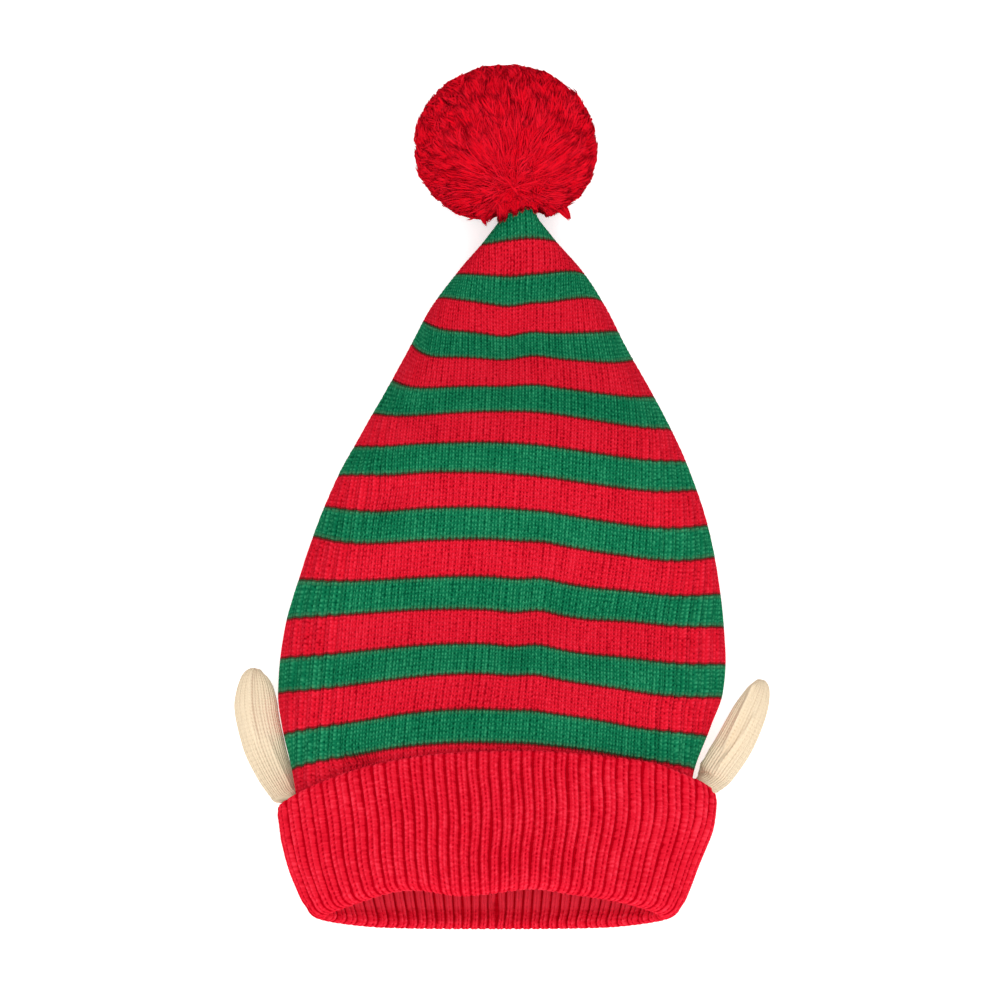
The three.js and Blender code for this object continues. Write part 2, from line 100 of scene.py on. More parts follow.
class Finish:
    """One procedural material, built node by node."""

    def __init__(self, name):
        self.material = bpy.data.materials.new(name)
        self.material.use_nodes = True
        self.nodes, self.links = self.material.node_tree.nodes, self.material.node_tree.links
        self.nodes.clear()

    def node(self, kind, settings=None, inputs=None, output=0):
        """A node of any type: its settings first, then the values or links of its sockets."""
        made = self.nodes.new(kind)
        for name, value in (settings or {}).items():
            setattr(made, name, value)
        for key, value in (inputs or {}).items():
            if isinstance(value, Signal):
                self.links.new(value.socket, made.inputs[key])
            else:
                made.inputs[key].default_value = value
        return Signal(self, made.outputs[output]) if made.outputs else None

    def constant(self, value):
        held = self.node("ShaderNodeValue")
        held.socket.default_value = value
        return held

    def place(self):
        """The piece's own place, which rides with it."""
        return self.node("ShaderNodeTexCoord", output=3)

    def chart(self, name):
        """The two counts of a UV map, such as stitches across and courses along."""
        both = self.node("ShaderNodeUVMap", {"uv_map": name})
        return [self.node("ShaderNodeSeparateXYZ", inputs={0: both}, output=axis) for axis in (0, 1)]

    def spot(self, x, y, z=0.0):
        return self.node("ShaderNodeCombineXYZ", inputs={0: x, 1: y, 2: z})

    def cloud(self, vector, scale, detail=2.0, roughness=0.5):
        inputs = {"Vector": vector, "Scale": scale, "Detail": detail, "Roughness": roughness}
        return self.node("ShaderNodeTexNoise", {"noise_dimensions": "3D"}, inputs)

    def vectors(self, operation, *others):
        """Vector Math on places or directions."""
        return self.node("ShaderNodeVectorMath", {"operation": operation}, dict(enumerate(others)))

    def blend(self, share, one, other):
        """One colour where the share is nought, the other where it is one."""
        return self.node("ShaderNodeMix", {"data_type": "RGBA"}, {0: share, 6: one, 7: other}, output=2)

    def done(self, colour, roughness, height, depth, sheen, tint, facing=None, through=0.0):
        """Joins colour, roughness and relief to a woolly surface and returns the material. The sheen of
        loose fibres has the yarn's own tint."""
        relief = {"Height": height, "Distance": depth, "Strength": 1.0}
        if facing:
            relief["Normal"] = facing
        bump = self.node("ShaderNodeBump", inputs=relief)
        inputs = {
            "Base Color": colour, "Roughness": roughness, "Normal": bump,
            "Specular IOR Level": 0.0, "Sheen Weight": sheen, "Sheen Roughness": 0.5, "Sheen Tint": tint,
            "Subsurface Weight": through, "Subsurface Radius": (1.0, 0.3, 0.2), "Subsurface Scale": 0.002,
        }
        surface = self.node("ShaderNodeBsdfPrincipled", inputs=inputs)
        self.node("ShaderNodeOutputMaterial", inputs={"Surface": surface})
        return self.material


print("shader arithmetic ready")

# %% [markdown]
# The hat is knitted from one kind of yarn: soft, slightly fuzzy acrylic. Each stitch shows as two
# slanting legs that make a V, and the dark of the inside shows in the pinholes between them. The
# stitches' shape comes from the mesh. The finish adds what is finer: the twist of the yarn's plies,
# painted shade in the pinholes and the lines between columns, painted highlights on the legs, and
# the small change of colour from one stretch of yarn to the next.


# %% Yarn finish
V_SLANT = 0.22


def yarn_finish(name, deep, full, bright, kind="plain", fringe=None, uneven=1.0):
    """Yarn colour over a chart of stitches: u counts columns and v counts courses.

    A leg's middle lies a quarter and three quarters across a column, or nearer the middle of a rib.
    The tone holds painted light: a painted highlight on each leg and painted shade in the line between
    columns, most where two stitches meet.
    The ribbed band's inner leg is painted lighter, as painted light inside the mouth.
    """
    finish = Finish(name)
    column, course = finish.chart("stitches")
    place = finish.place()
    aside = (column.fraction() - 0.5).size() * 2
    if kind == "ribbed":
        leg = (1 - (aside - 0.38).size() * 2.6).step(0.0, 1.0)
        line = aside.step(0.68, 0.9)
        groove = aside.step(0.26, 0.04)
    else:
        leg = (1 - (aside - 0.45).size() * 2.0).step(0.0, 1.0)
        line = aside.step(0.6, 1.0)
        groove = aside.step(0.35, 0.0)
    risen = course - aside * V_SLANT
    beat = 0.5 - (risen * (2 * math.pi)).wave() * 0.5
    stitches = finish.cloud(finish.spot(column * 1.1, course * 0.9), 1.7, 1.0)
    streaks = finish.cloud(finish.spot(column * 0.9, course * 0.05), 2.0, 1.0)
    patches = finish.cloud(place, 45.0, 2.0)
    dots = ((risen + 0.5) * (2 * math.pi)).wave() * 0.5 + 0.5
    # Painted highlight on the legs and painted shade in the lines between columns and in the pinholes; the
    # noise added after is the yarn's own uneven tone.
    if kind == "ribbed":
        tone = leg * (beat * 0.1 + 0.2) - line * 0.7 - groove * (dots * stitches * 0.8 + 0.1) + 0.54
    elif kind == "fine":
        tone = 0.66 - (line + groove * 0.5) * dots * stitches * 0.8
    else:
        tone = leg * beat * 0.55 - (line + groove * 0.8) * (dots * 0.45 + 0.05) + 0.52
    tone = tone + (stitches - 0.5) * 1.6 * uneven + (streaks - 0.5) * 0.8 * uneven + (patches - 0.5) * 0.5
    colour = finish.blend(tone.step(-0.1, 0.55), deep, full)
    colour = finish.blend(tone.step(0.55, 1.25), colour, bright)
    # Painted light: the inner leg's courses are blended towards the bright colour, standing in for light
    # inside the mouth.
    if kind == "ribbed":
        inside = course.step(INNER_COURSES + 1, INNER_COURSES - 1)
        colour = finish.blend(inside * (1 - line) * (1 - groove * 0.4) * 0.9, colour, bright)
    if kind == "striped":
        to_start = ((risen / STRIPE_PAIR + 0.5).fraction() - 0.5).size() * STRIPE_PAIR
        to_change = (((risen - COURSES_GREEN) / STRIPE_PAIR + 0.5).fraction() - 0.5).size() * STRIPE_PAIR
        seam = to_start.step(0.65, 0.25) + to_change.step(0.65, 0.25)
        if fringe:
            edge = to_start.step(1.3, 0.8) + to_change.step(1.3, 0.8)
            colour = finish.blend(edge * leg * 0.22, colour, fringe)
        colour = finish.blend(seam * (line * 0.25 + 0.6), colour, SEAM_SHADE)
    fibres = finish.cloud(finish.spot(column * 7, course * 2.2), 3.0, 2.0, 0.6)
    height = leg * (beat * (0.15 if kind == "ribbed" else 0.45) + 0.5) - line * 0.4 + fibres * 0.35
    roughness = 0.82 + fibres * 0.15
    return finish.done(colour, roughness, height, 0.00028 if kind == "fine" else 0.0005, 0.12, bright)


COURSES_RED, COURSES_GREEN = 9, 8
STRIPE_PAIR = COURSES_RED + COURSES_GREEN
INNER_COURSES = 18
SEAM_SHADE = (0.055, 0.012, 0.008, 1)
RED_DEEP, RED_FULL, RED_BRIGHT = (0.34, 0.001, 0.006, 1), (0.72, 0.009, 0.026, 1), (0.89, 0.026, 0.055, 1)
GREEN_DEEP, GREEN_FULL = (0.0, 0.062, 0.026, 1), (0.005, 0.165, 0.070, 1)
GREEN_BRIGHT, GREEN_FRINGE = (0.034, 0.33, 0.15, 1), (0.17, 0.26, 0.12, 1)
RIB_DEEP, RIB_FULL, RIB_BRIGHT = (0.42, 0.0, 0.006, 1), (0.72, 0.010, 0.028, 1), (0.88, 0.035, 0.065, 1)
CREAM_DEEP, CREAM_FULL, CREAM_BRIGHT = (0.58, 0.40, 0.23, 1), (0.84, 0.68, 0.48, 1), (0.90, 0.78, 0.59, 1)
red_yarn = yarn_finish("red_yarn", RED_DEEP, RED_FULL, RED_BRIGHT, "striped")
green_yarn = yarn_finish("green_yarn", GREEN_DEEP, GREEN_FULL, GREEN_BRIGHT, "striped", GREEN_FRINGE)
red_rib_yarn = yarn_finish("red_rib_yarn", RIB_DEEP, RIB_FULL, RIB_BRIGHT, "ribbed")
cream_yarn = yarn_finish("cream_yarn", CREAM_DEEP, CREAM_FULL, CREAM_BRIGHT, "fine", uneven=0.35)
print("yarns:", [m.name for m in bpy.data.materials])

# %% [markdown]
# Every knitted piece ends up as one mesh made from a grid of points. Where a grid narrows to a point
# or two panels meet, several grid points share one place. Welding them closes the seam, and what is
# left of a collapsed four-cornered face is a triangle or nothing.


# %% Grids into closed meshes
WELD = 1e-8


def grid_quads(rows, columns):
    """Corners of each face of a grid that closes on itself both ways: along, then round."""
    here = np.arange(rows * columns).reshape(rows, columns)
    ahead = np.roll(here, -1, axis=0)
    return np.stack([here, ahead, np.roll(ahead, -1, axis=1), np.roll(here, -1, axis=1)], -1).reshape(-1, 4)


def make_mesh(name, points, faces, chart, material, chart_name="stitches"):
    """An object from an array of points, faces as rows of four indices and a chart place for each
    face corner. Points that share a place become one, and faces that collapse are left out."""
    points = np.ascontiguousarray(points.reshape(-1, 3))
    keys = np.round(points / WELD).astype(np.int64)
    _, first, same = np.unique(keys, axis=0, return_index=True, return_inverse=True)
    corners = same.reshape(-1)[faces]
    keep = corners != np.roll(corners, -1, axis=1)
    crossed = (corners[:, 0] == corners[:, 2]) | (corners[:, 1] == corners[:, 3])
    counts = keep.sum(axis=1)
    alive = (counts >= 3) & ~(crossed & (counts == 4))
    keep, corners, chart, counts = keep[alive], corners[alive], chart[alive], counts[alive]
    flat = corners[keep]
    used, packed = np.unique(flat, return_inverse=True)
    mesh = bpy.data.meshes.new(name)
    mesh.vertices.add(len(used))
    mesh.vertices.foreach_set("co", points[first][used].astype(np.float32).ravel())
    mesh.loops.add(len(flat))
    mesh.loops.foreach_set("vertex_index", packed.reshape(-1).astype(np.int32))
    mesh.polygons.add(len(counts))
    mesh.polygons.foreach_set("loop_start", np.concatenate(([0], np.cumsum(counts)[:-1])).astype(np.int32))
    mesh.polygons.foreach_set("loop_total", counts.astype(np.int32))
    mesh.update(calc_edges=True)
    mesh.polygons.foreach_set("use_smooth", np.ones(len(counts), dtype=bool))
    mesh.uv_layers.new(name=chart_name).data.foreach_set("uv", chart[keep].astype(np.float32).ravel())
    mesh.validate()
    mesh.materials.append(material)
    piece = bpy.data.objects.new(name, mesh)
    bpy.context.collection.objects.link(piece)
    print(name, "has", int((counts - 2).sum()), "triangles")
    return piece


# %% [markdown]
# The tube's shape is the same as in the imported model: a short table of cross-sections, joined by
# smooth curves, with the dents and ridges of the limp knit laid over its upper side. Writing the
# formula again in metres gives every later piece a surface to lie on.

# %% The tube's sizes
HAT_LENGTH, HAT_WIDTH, HAT_HEIGHT = 0.364, 0.215, 0.051
ORIGIN_FROM_MOUTH = 0.215
KNIT_WALL, CROWN_START = 0.003, 0.045
SIDE_LEVEL, BACK_FLATTENING = 0.38, 0.003
ARCH_WIDTH_POWER, ARCH_HEIGHT_POWER = 2.4, 1.6
BACK_WIDTH_POWER, BACK_HEIGHT_POWER = 3, 2
RIB_WALL, RIB_DEPTH, CUFF_GAP = 0.0034, 0.0011, 0.0006
OUTER_LEG_GAP = CUFF_GAP + RIB_DEPTH / 2
CUFF_STACK = OUTER_LEG_GAP + RIB_WALL + RIB_DEPTH / 2


def table(columns, *rows):
    """A table with named columns, each an array."""
    return dict(zip(columns.split(), np.array(rows, dtype=float).T))


# Sections: at is a share of the length, half and centre of the width, top and rise of the height.
# lift is the share of the two cuff layers that the back lies on.
SECTIONS = table(
    "at half centre top rise lift",
    (0, 0.365, -0.016, 0.804, 0, 1),
    (0.022, 0.382, -0.0135, 0.849, 0, 1),
    (0.064, 0.404, -0.014, 0.863, 0, 1),
    (0.119, 0.4235, -0.0085, 0.873, 0, 1),
    (0.188, 0.4387, -0.0154, 0.882, 0, 0.95),
    (0.257, 0.475, -0.008, 0.912, 0, 0.25),
    (0.304, 0.496, 0.001, 0.882, 0, 0),
    (0.345, 0.5, 0.006, 0.824, 0, 0),
    (0.395, 0.495, 0.01, 0.79, 0, 0),
    (0.464, 0.475, 0.02, 0.86, 0, 0),
    (0.533, 0.447, 0.028, 0.951, 0, 0),
    (0.602, 0.408, 0.034, 1.0, 0, 0),
    (0.671, 0.359, 0.04, 0.912, 0, 0),
    (0.74, 0.306, 0.043, 0.735, 0, 0),
    (0.809, 0.252, 0.042, 0.588, 0, 0),
    (0.865, 0.2075, 0.044, 0.569, 0.02, 0),
    (0.914, 0.147, 0.048, 0.618, 0.165, 0),
    (0.956, 0.075, 0.047, 0.725, 0.39, 0),
    (0.981, 0.041, 0.045, 0.82, 0.53, 0),
    (1.0, 0.037, 0.042, 0.9, 0.6, 0),
)
SECTION_UNITS = {
    "half": HAT_WIDTH, "centre": HAT_WIDTH, "top": HAT_HEIGHT, "rise": HAT_HEIGHT, "lift": CUFF_STACK,
}
# Folds: place and reach along (shares of the length) and across (shares of the half-width), and the
# height of a ridge or depth of a dent as a share of the hat's height.
FOLDS = table(
    "at long across wide lift",
    (0.37, 0.12, 0.16, 0.07, 0.075),
    (0.37, 0.1, 0.03, 0.07, -0.05),
    (0.375, 0.085, 0.36, 0.12, -0.055),
    (0.385, 0.09, 0.6, 0.14, 0.04),
    (0.561, 0.03, -0.66, 0.12, -0.085),
    (0.6, 0.03, -0.6, 0.2, 0.05),
    (0.5, 0.04, -0.52, 0.22, 0.04),
    (0.78, 0.075, -0.13, 0.13, -0.06),
    (0.78, 0.1, 0.14, 0.12, 0.045),
    (0.78, 0.08, -0.5, 0.16, 0.045),
    (0.235, 0.04, 0.66, 0.12, -0.05),
    (0.245, 0.04, -0.62, 0.16, -0.045),
)


# %% The tube's surface
def bell(distance, reach):
    """One at no distance, falling to nought past the reach."""
    return np.exp(-((distance / reach) ** 2))


def ramp(value, low, high):
    """Smooth step: nought below low, one above high."""
    share = np.clip((value - low) / (high - low), 0, 1)
    return share * share * (3 - 2 * share)


def smooth_column(rows, column, at):
    """A cubic through a table's column that never swings past its rows: each row's slope is the
    harmonic mean of the slopes on either side of it."""
    places, values = rows["at"], rows[column]
    chords = np.diff(values) / np.diff(places)
    before = np.concatenate((chords[:1], chords))
    after = np.concatenate((chords, chords[-1:]))
    agree = before * after > 0
    slopes = np.where(agree, 2 * before * after / np.where(agree, before + after, 1), 0)
    i = np.clip(np.searchsorted(places, at, side="left") - 1, 0, len(places) - 2)
    span = places[i + 1] - places[i]
    t = np.clip((at - places[i]) / span, 0, 1)
    ease = t * t * (3 - 2 * t)
    leave = t * (1 - t) ** 2 * slopes[i] * span
    arrive = t * t * (t - 1) * slopes[i + 1] * span
    return values[i] * (1 - ease) + values[i + 1] * ease + leave + arrive


def section(name, at):
    """A measure of the tube's section in metres: the table's share times the size it is a share of."""
    return smooth_column(SECTIONS, name, at) * SECTION_UNITS[name]


def fold_height(at, across):
    """The sum of all folds, each a bell along times a bell across."""
    folds = zip(*(FOLDS[name] for name in ("at", "long", "across", "wide", "lift")))
    return HAT_HEIGHT * sum(
        lift * bell(at - place, long) * bell(across - side, wide) for place, long, side, wide, lift in folds
    )


def share_across(angle):
    """Sideways place of an angle round the tube, as a share of the half-width: a power of its cosine."""
    cosine = np.cos(angle)
    power = np.where(np.sin(angle) >= 0, 2 / ARCH_WIDTH_POWER, 2 / BACK_WIDTH_POWER)
    return np.sign(cosine) * np.abs(cosine) ** power


def tube_point(along, angle, outset):
    """A point of the tube. along is measured from the mouth, and angle runs from the right-hand fold
    over the front to the left-hand fold and on under the back. The front is an arch, a power of the
    sine between the side folds' level and the top. The back is a bowl cut off flat."""
    at = along / HAT_LENGTH
    bottom = section("lift", at) + section("rise", at)
    top = section("top", at)
    side = bottom + (top - bottom) * SIDE_LEVEL
    across = share_across(angle)
    sine = np.sin(angle)
    x = section("centre", at) + (section("half", at) + outset) * across
    arch = np.clip(sine, 0, 1) ** (2 / ARCH_HEIGHT_POWER)
    bowl = np.clip(-sine, 0, 1) ** (2 / BACK_HEIGHT_POWER)
    front = side + (top + outset - side + fold_height(at, across)) * arch
    low = bottom - outset
    back = np.maximum(np.maximum(side - (side - low + BACK_FLATTENING) * bowl, low), 0)
    return np.stack(np.broadcast_arrays(x, along - ORIGIN_FROM_MOUTH, np.where(sine >= 0, front, back)), -1)


widest = tube_point(np.array(0.126), np.array([0, math.pi / 2]), 0.0)
print("tube checked at the widest place:", widest.round(4))

# %% [markdown]
# Knitting grows in courses from the cuff to the tip, nine courses of red and eight of green in turn.
# Its columns run side by side along the hat, always the same width, and end at the side folds where
# the tube narrows. So a stitch is found by its course and by its distance from the middle, measured
# over the surface. The limp tube lies a little askew, so a course is not quite straight: a measured
# table says where every second stripe starts, at five places from fold to fold.

# %% Where the courses lie
COURSE_COUNT = 164
STITCH_WIDTH = 0.00325
PANEL_STEPS = 160
STRIPE_SIDES = np.array((-0.9, -0.45, 0.0, 0.45, 0.9))
# Metres from the mouth of the start of each green stripe, from the left fold to the right fold.
STRIPE_STARTS = table(
    "at left near_left middle near_right right",
    (0, 0.0430, 0.0445, 0.0450, 0.0440, 0.0425),
    (1, 0.0730, 0.0775, 0.0790, 0.0762, 0.0725),
    (2, 0.1086, 0.1106, 0.1122, 0.1070, 0.1054),
    (3, 0.1460, 0.1454, 0.1448, 0.1408, 0.1412),
    (4, 0.1840, 0.1782, 0.1782, 0.1730, 0.1743),
    (5, 0.2165, 0.2117, 0.2100, 0.2056, 0.2084),
    (6, 0.2497, 0.2440, 0.2440, 0.2405, 0.2418),
    (7, 0.2885, 0.2780, 0.2778, 0.2770, 0.2815),
    (8, 0.3175, 0.3108, 0.3087, 0.3120, 0.3170),
    (9, 0.3430, 0.3420, 0.3428, 0.3434, 0.3445),
    (10, 0.3760, 0.3760, 0.3760, 0.3760, 0.3760),
)


def course_place(course, across):
    """Distance from the mouth of a course at a place across the hat: the table's five columns, each
    smooth along the hat, joined by the polynomial that runs through all five."""
    pair = course / STRIPE_PAIR
    names = ("left", "near_left", "middle", "near_right", "right")
    place = 0
    for k, name in enumerate(names):
        others = np.delete(STRIPE_SIDES, k)
        weight = np.prod([(across - side) / (STRIPE_SIDES[k] - side) for side in others], axis=0)
        place = place + weight * smooth_column(STRIPE_STARTS, name, pair)
    return np.clip(place, CROWN_START, HAT_LENGTH)


def panel_angles(along, offsets, start, end):
    """For each section of the tube, the angles whose distances over the surface from the panel's
    middle are the offsets. start and end are the angles of its two side folds."""
    steps = np.linspace(start, end, PANEL_STEPS + 1)
    ring = tube_point(along[:, None], steps[None, :], 0.0)
    walked = np.cumsum(np.linalg.norm(np.diff(ring, axis=1), axis=2), axis=1)
    walked = np.concatenate((np.zeros((len(along), 1)), walked), axis=1)
    walked = walked - walked[:, [PANEL_STEPS // 2]]
    return np.array([np.interp(offsets, row, steps) for row in walked]), np.abs(walked[:, [0, -1]]).max()


middle_places = course_place(np.arange(COURSE_COUNT + 1.0), 0.0)
print("a course is", round(1000 * np.diff(middle_places)[20:150].mean(), 2), "mm tall")

# %% [markdown]
# Now the stitches. Four grid lines cross each column: two run down the crests of the V's legs, one
# down its middle and one down the deep line between columns. Two cross each course, and both bend
# with the V. Moving these points in and out by half a millimetre gives knitting that catches the
# light like the real thing, and two stripes meet in the same points, so the colours change cleanly.

# %% The crown's stitches
LEG_LINES = 4
COURSE_LINES = 2
STITCH_RELIEF = 0.00066
CUFF_FRONT = {"fold": 0.010, "height": 0.064}
CUFF_SIDE = {"fold": 0.0025, "height": 0.0555}
CUFF_BACK = {"fold": 0.0, "height": 0.065}
CUFF_TILT = 0.003
RAISED_EDGE, RAISED_AT, RAISED_REACH = 0.0026, 0.72, 0.3
PANEL_HALF = 0.128
YARN_UNEVENNESS, SEAM_GROOVE, SET_BACK = 0.00003, 0.00025, 0.0002
GATHER_HEIGHT, GATHER_END = 0.0011, 0.29
TUCK_DEPTH, TUCK_REACH = 0.0008, 0.004
PUCKER_DEPTH, PUCKER_REACH, PUCKER_PLACE, PUCKER_WIDTH = 0.0075, 0.006, -0.72, 0.12
random = np.random.default_rng(7)
half_columns = int(PANEL_HALF / STITCH_WIDTH * LEG_LINES)
offsets = np.arange(-half_columns, half_columns + 1) * STITCH_WIDTH / LEG_LINES
course_lines = np.arange(COURSE_COUNT * COURSE_LINES + 1) / COURSE_LINES
straight = course_place(course_lines, 0.0)
front_angles, front_reach = panel_angles(straight, -offsets[::-1], 0.0, math.pi)
back_angles, back_reach = panel_angles(straight, offsets, math.pi, 2 * math.pi)
back_angles = np.where(back_angles >= 2 * math.pi, 0.0, back_angles)
reaches = round(front_reach, 3), round(back_reach, 3)
print("panels reach", reaches, "m from the middle, of", offsets[-1])


def around_cuff(measure, angle):
    """A measure that changes from front over side to back with the sine squared."""
    sine = np.sin(angle)
    facing = np.where(sine >= 0, CUFF_FRONT[measure], CUFF_BACK[measure])
    return CUFF_SIDE[measure] + (facing - CUFF_SIDE[measure]) * sine * sine


def cuff_top(angle):
    """How far from the mouth the cuff's upper edge lies: further on the right than on the left, most
    of all on the right of the upper side."""
    raised = RAISED_EDGE * bell(angle - RAISED_AT, RAISED_REACH)
    return around_cuff("fold", angle) + around_cuff("height", angle) + CUFF_TILT * np.cos(angle) + raised


def crown_surface():
    """All the crown's outer points, courses by columns round the tube, with each point's chart place.

    The relief of a point is the product of a leg's profile across its column and a swell within its
    course, less a groove where two stripes meet. A course's line rises towards the column's edges.
    Near the side folds the columns gather into wider ridges. The fabric is also drawn in along the
    cuff's upper edge, most of all on the left.
    """
    angle = np.concatenate((front_angles, back_angles), axis=1)
    distance = np.concatenate((offsets[::-1], offsets))[None, :]
    across = share_across(angle)
    column = distance / STITCH_WIDTH
    beside = np.abs((column % 1) - 0.5) * 2
    crest = 1 - np.abs(beside - 0.5) * 2
    between = beside * 0.75 + (1 - beside) * 0.3
    profile = crest - (1 - crest) * between
    within = course_lines[:, None] % 1
    swell = 0.5 - 0.5 * np.cos(2 * math.pi * within)
    slanted = course_lines[:, None] + V_SLANT * (beside - 0.5) * ramp(1 - np.abs(across), 0.0, 0.03)
    slanted = np.clip(slanted, 0, COURSE_COUNT)
    pair_place = course_lines[:, None] % STRIPE_PAIR
    at_seam = (pair_place == 0) | (pair_place == COURSES_GREEN)
    along = course_place(slanted, across)
    from_fold = 1 - np.abs(across)
    tension = 0.75 + 0.25 * np.sin(19 * across + 3 * np.sin(along * 41)) * np.sin(along * 83 + 5 * across)
    near_fold = 1 + 1.3 * ramp(np.abs(across), 0.68, 0.9)
    on_panel = ramp(from_fold, 0.0, 0.006)
    relief = STITCH_RELIEF * tension * near_fold * (0.55 * profile + 0.2 * swell * crest / near_fold - 0.3)
    relief = relief + random.normal(0, YARN_UNEVENNESS, relief.shape)
    relief = relief - SEAM_GROOVE * at_seam * (1 - 0.6 * crest)
    gathers = ramp(np.abs(across), 0.64, 0.8) * ramp(from_fold, 0.0, 0.06)
    gathers = gathers * ramp(GATHER_END - along, 0.0, 0.08)
    relief = relief + GATHER_HEIGHT * gathers * np.cos(math.pi * column)
    above_cuff, upper = along - cuff_top(angle), ramp(np.sin(angle), 0.0, 0.3)
    tucked = TUCK_DEPTH * bell(above_cuff - 0.001, TUCK_REACH)
    pucker = PUCKER_DEPTH * bell(above_cuff - 0.003, PUCKER_REACH) * bell(across - PUCKER_PLACE, PUCKER_WIDTH)
    drawn_in = (tucked + pucker) * upper * on_panel
    relief = relief * on_panel - SET_BACK - drawn_in
    chart = np.stack(np.broadcast_arrays(column, course_lines[:, None] + V_SLANT * beside), -1)
    return tube_point(along, angle, relief), tube_point(along, angle, -KNIT_WALL - drawn_in), chart


outer, inner, chart = crown_surface()
print("crown grid:", outer.shape)


# %% Cut the crown into stripes
def stripe(first, last):
    """The closed ring of fabric between two courses: its outer rows, then its two inner edges."""
    rows = slice(first * COURSE_LINES, last * COURSE_LINES + 1)
    inside = inner[rows][[-1, 0]]
    if last == COURSE_COUNT:
        inside = np.broadcast_to(outer[rows].mean(axis=(0, 1)), inside.shape)
    points = np.concatenate((outer[rows], inside))
    places = np.concatenate((chart[rows], chart[rows][[-1, 0]]))
    return points, places


def stripes(name, courses, material):
    """All the stripes of one colour as one mesh."""
    points, places, faces, base = [], [], [], 0
    for first, last in courses:
        ring, ring_chart = stripe(first, last)
        quads = grid_quads(*ring.shape[:2])
        points.append(ring.reshape(-1, 3))
        places.append(ring_chart.reshape(-1, 2)[quads])
        faces.append(quads + base)
        base += len(points[-1])
    # Neighbouring stripes of one colour never touch, so welding only closes each ring's own seams.
    return make_mesh(name, np.concatenate(points), np.concatenate(faces), np.concatenate(places), material)


pairs = range(0, COURSE_COUNT, STRIPE_PAIR)
green_courses = [(s, min(s + COURSES_GREEN, COURSE_COUNT)) for s in pairs]
red_starts = [s + COURSES_GREEN for s in pairs if s + COURSES_GREEN < COURSE_COUNT]
red_courses = [(s, min(s + COURSES_RED, COURSE_COUNT)) for s in red_starts]
crown_green = stripes("crown_green_stripes", green_courses, green_yarn)
crown_red = stripes("crown_red_stripes", red_courses, red_yarn)
for piece, slot in ((crown_green, "green_knit"), (crown_red, "red_knit")):
    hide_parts("crown")
    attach(piece, "root")

# %% [markdown]
# The cuff is a band of one-and-one rib, folded at the mouth and turned up over the crown. Its good
# face runs without a break: out of the mouth along the inner leg, round the fold and up the outer
# leg. Ribs stand up from that face in the direction it faces, so they also make the small scallops
# of the fold. The hidden face between the legs stays smooth.

# %% The cuff's path
RIB_COUNT, RIB_BUNCHING, SEAM_GAP = 74, 0.14, 0.0005
POCKET_REACH, SHOULDER_SHARE = 0.8, 0.7
EAR_ROOT_THICKNESS, EAR_CLEARANCE = 0.0038, 0.0008
POCKET_GAP = EAR_ROOT_THICKNESS + 2 * EAR_CLEARANCE - CUFF_GAP
RIB_COURSE = 0.002
MOUTH_WAVES = ((1.69, 0.17, -0.0026), (2.02, 0.30, 0.0024), (1.42, 0.16, 0.0016))
RIDGE_HEIGHT, RIB_LEG_HEIGHT, RIB_GROOVE_DEPTH, RIB_SWELL = 0.0014, 0.0003, 0.0004, 0.00005
CORNER_OUT, CORNER_AT, CORNER_REACH = 0.0020, 0.060, 0.016
RIB_WANDER = 0.0011
RIB_LINES = np.array((0.0, 0.11, 0.2, 0.32, 0.5, 0.68, 0.8, 0.89))


def leg_gap(angle, share):
    """Room between crown and outer leg: wide at the sides, for the ears' roots."""
    pocket = bell(np.sin(angle), POCKET_REACH) * np.minimum(1, share / SHOULDER_SHARE)
    return OUTER_LEG_GAP + POCKET_GAP * pocket


def even_angles(shares, along, outset):
    """Angles at given shares of the way round the tube's section, measured over its surface."""
    steps = np.linspace(0, 2 * math.pi, 4001)
    ring = tube_point(np.full(steps.shape, along), steps, outset)
    walked = np.concatenate(([0], np.cumsum(np.linalg.norm(np.diff(ring, axis=0), axis=1))))
    return np.interp(shares * walked[-1], walked, steps)


